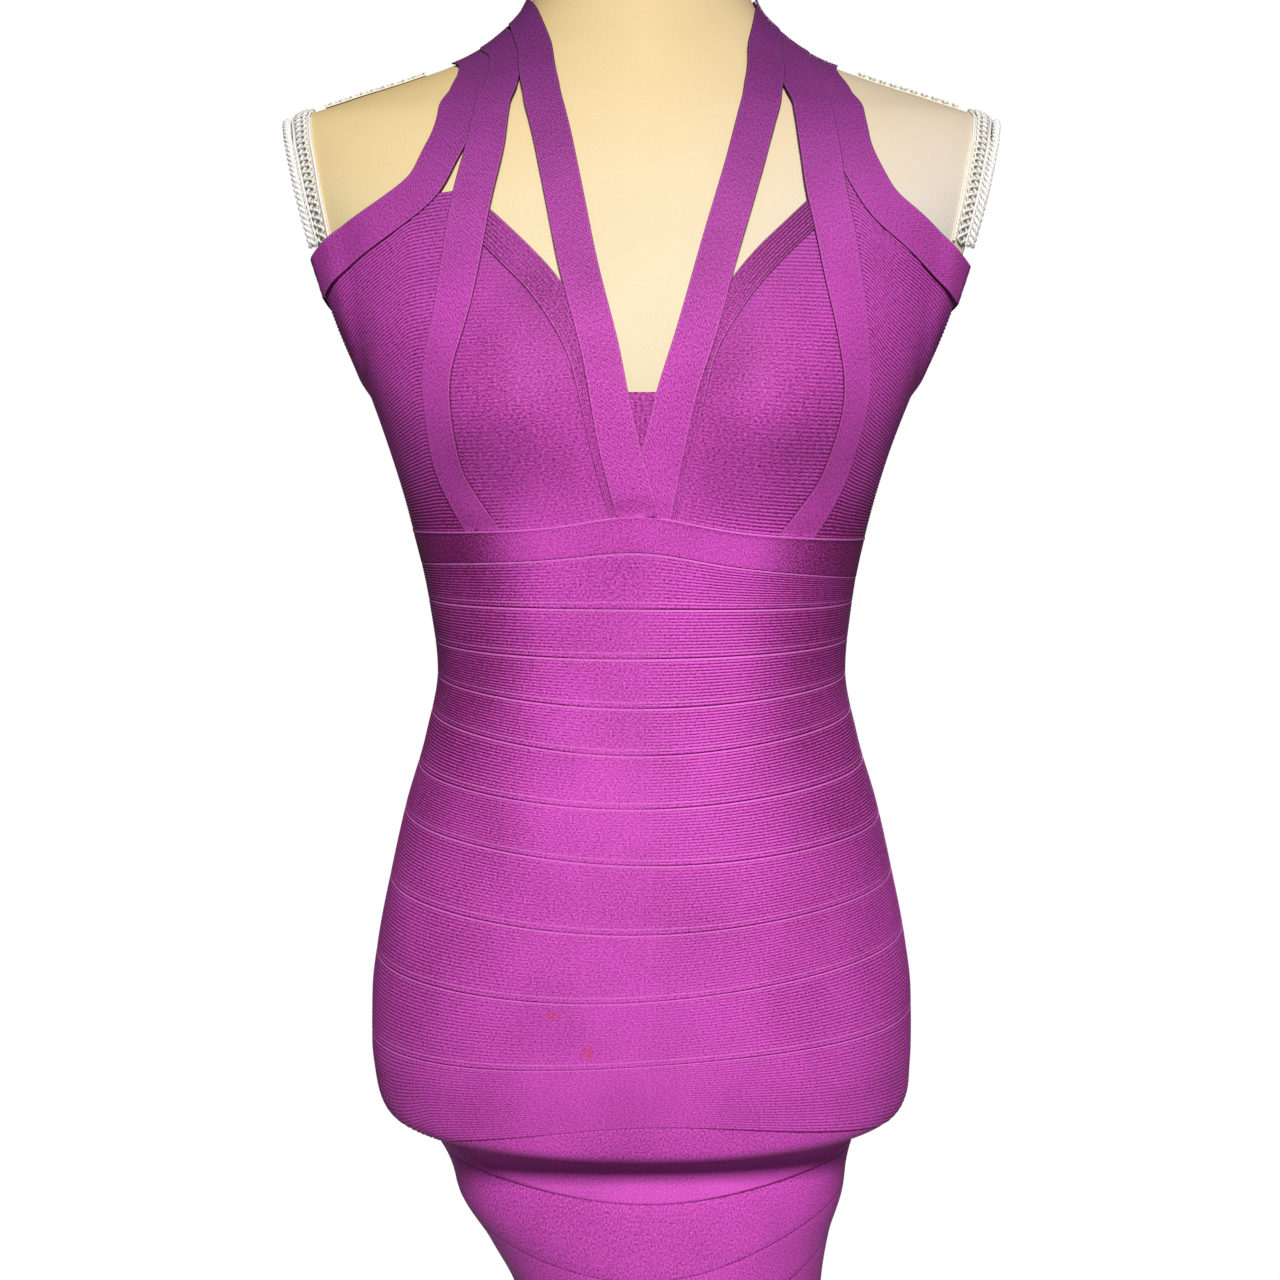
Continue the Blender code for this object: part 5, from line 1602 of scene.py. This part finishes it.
pole_foot, flange_foot = BOSS_TOP + SEAM, FORM_BOTTOM - SEAM - FLANGE_THICK
turned("stand_base", [
    (0, 0), *eased(BASE_RADIUS, 0, BASE_BEVEL, False), *eased(BASE_RADIUS, BASE_EDGE, BASE_BEVEL),
    (BASE_RADIUS - 0.020, BASE_EDGE + 0.0030), (0.100, 0.0160), (BOSS_RADIUS + 0.010, 0.0192),
    (BOSS_RADIUS + 0.004, BASE_CROWN + 0.001), (BOSS_RADIUS, BASE_CROWN + 0.005),
    *eased(BOSS_RADIUS - BASE_BEVEL, BOSS_TOP, BASE_BEVEL), (0, BOSS_TOP),
], 128)
turned("stand_pole", [(0, pole_foot), (POLE_RADIUS, pole_foot),
                      (POLE_RADIUS, flange_foot - SEAM), (0, flange_foot - SEAM)], 64)
turned("stand_flange", [
    (0, flange_foot), *eased(FLANGE_RADIUS, flange_foot, FLANGE_LOWER_BEVEL, False),
    *eased(FLANGE_RADIUS, flange_foot + FLANGE_THICK, FLANGE_UPPER_BEVEL),
    (0, flange_foot + FLANGE_THICK),
], 96)
print(f"pole: {(flange_foot - SEAM - pole_foot) * 1000:.0f} mm; triangles so far: {triangles}")

# %% [markdown]
# ## Floor, light and camera
#
# The studio is plain: a round pale floor, and white all around that the eye sees at full strength
# and the object gets only an eighth of, as from a far white wall. One soft light, high over the
# camera, lets the knit shine in the middle, fall off to its sides, with help from the painted shade
# in its colour, and throw the rim's shadow on the skirt. One behind does for the back what the
# first does for the front. The floor gives no light back to the dress, or the shadow would fill up
# from below.

# %% Studio
FLOOR_RADIUS = 1.0
SURROUND = 0.13  # share of the white surround that lights the object
bm = bmesh.new()
bmesh.ops.create_circle(bm, cap_ends=True, segments=128, radius=FLOOR_RADIUS)
mesh = bpy.data.meshes.new("floor")
bm.to_mesh(mesh)
bm.free()
floor = bpy.data.objects.new("floor", mesh)
bpy.context.scene.collection.objects.link(floor)
ground = Finish("floor_pale", roughness=0.7)
tone = ground.noise(ground.place(), 1.5, 2.0)
pale = ground.mix(tone, (0.72, 0.72, 0.72), (0.76, 0.76, 0.76))
mesh.materials.append(ground.shade(base_color=pale))
floor.visible_diffuse = False

world = bpy.data.worlds.new("studio")
bpy.context.scene.world = world
world.use_nodes = True
nodes, links = world.node_tree.nodes, world.node_tree.links
surround = nodes["Background"]
surround.inputs["Color"].default_value = (1.0, 1.0, 1.0, 1.0)
seen = nodes.new("ShaderNodeMapRange")
seen.inputs["To Min"].default_value, seen.inputs["To Max"].default_value = SURROUND, 1.0
links.new(nodes.new("ShaderNodeLightPath").outputs["Is Camera Ray"], seen.inputs["Value"])
links.new(seen.outputs["Result"], surround.inputs["Strength"])
bpy.context.scene.view_settings.view_transform = "Standard"


def area_light(name, where, aim, size, power):
    """A square soft light at a place, turned to face a point."""
    data = bpy.data.lights.new(name, "AREA")
    data.shape, data.size, data.energy = "SQUARE", size, power
    lamp = bpy.data.objects.new(name, data)
    bpy.context.scene.collection.objects.link(lamp)
    from_to = np.array(aim, float) - np.array(where, float)
    yaw = math.atan2(from_to[1], from_to[0]) - math.pi / 2
    pitch = math.atan2(from_to[2], math.hypot(from_to[0], from_to[1])) + math.pi / 2
    lamp.location, lamp.rotation_euler = where, (pitch, 0, yaw)


area_light("key", (0.10, -1.95, 2.0), (0, 0, 0.90), 0.40, 64)
area_light("back_light", (0.3, 2.6, 1.5), (0, 0, 0.95), 1.2, 60)
print("floor:", 2 * FLOOR_RADIUS, "m across; lights:", len(bpy.data.lights))

# %% [markdown]
# The camera stands close, as for a picture in a shop, and looks down a little. Its lens and its
# tilt follow from three numbers in pixels: the side of the frame, the focal length, and how far
# the horizon lies above the middle.

# %% Camera
FRAME_PX, FOCAL_PX, HORIZON_PX = 1280, 2069, 240
SENSOR_MM = 36.0
CAMERA_AT = (-0.0009, -1.2, 1.014)
camera_data = bpy.data.cameras.new("camera")
camera_data.sensor_width = SENSOR_MM
camera_data.lens = SENSOR_MM * FOCAL_PX / FRAME_PX
camera = bpy.data.objects.new("camera", camera_data)
bpy.context.scene.collection.objects.link(camera)
camera.location = CAMERA_AT
tilt = math.atan(HORIZON_PX / FOCAL_PX)
camera.rotation_euler = (math.pi / 2 - tilt, 0, 0)
bpy.context.scene.camera = camera
print(f"lens: {camera_data.lens:.1f} mm, looking down by {math.degrees(tilt):.1f} degrees")

# %% [markdown]
# ## Measures
#
# The last cell lists what each piece was cut to, and how many triangles the object has.

# %% Measures
for node, width, length in sheets:
    print(f"{node}: cut {width * 1000:.0f} x {length * 1000:.0f} mm")
print("triangles in all:", triangles)
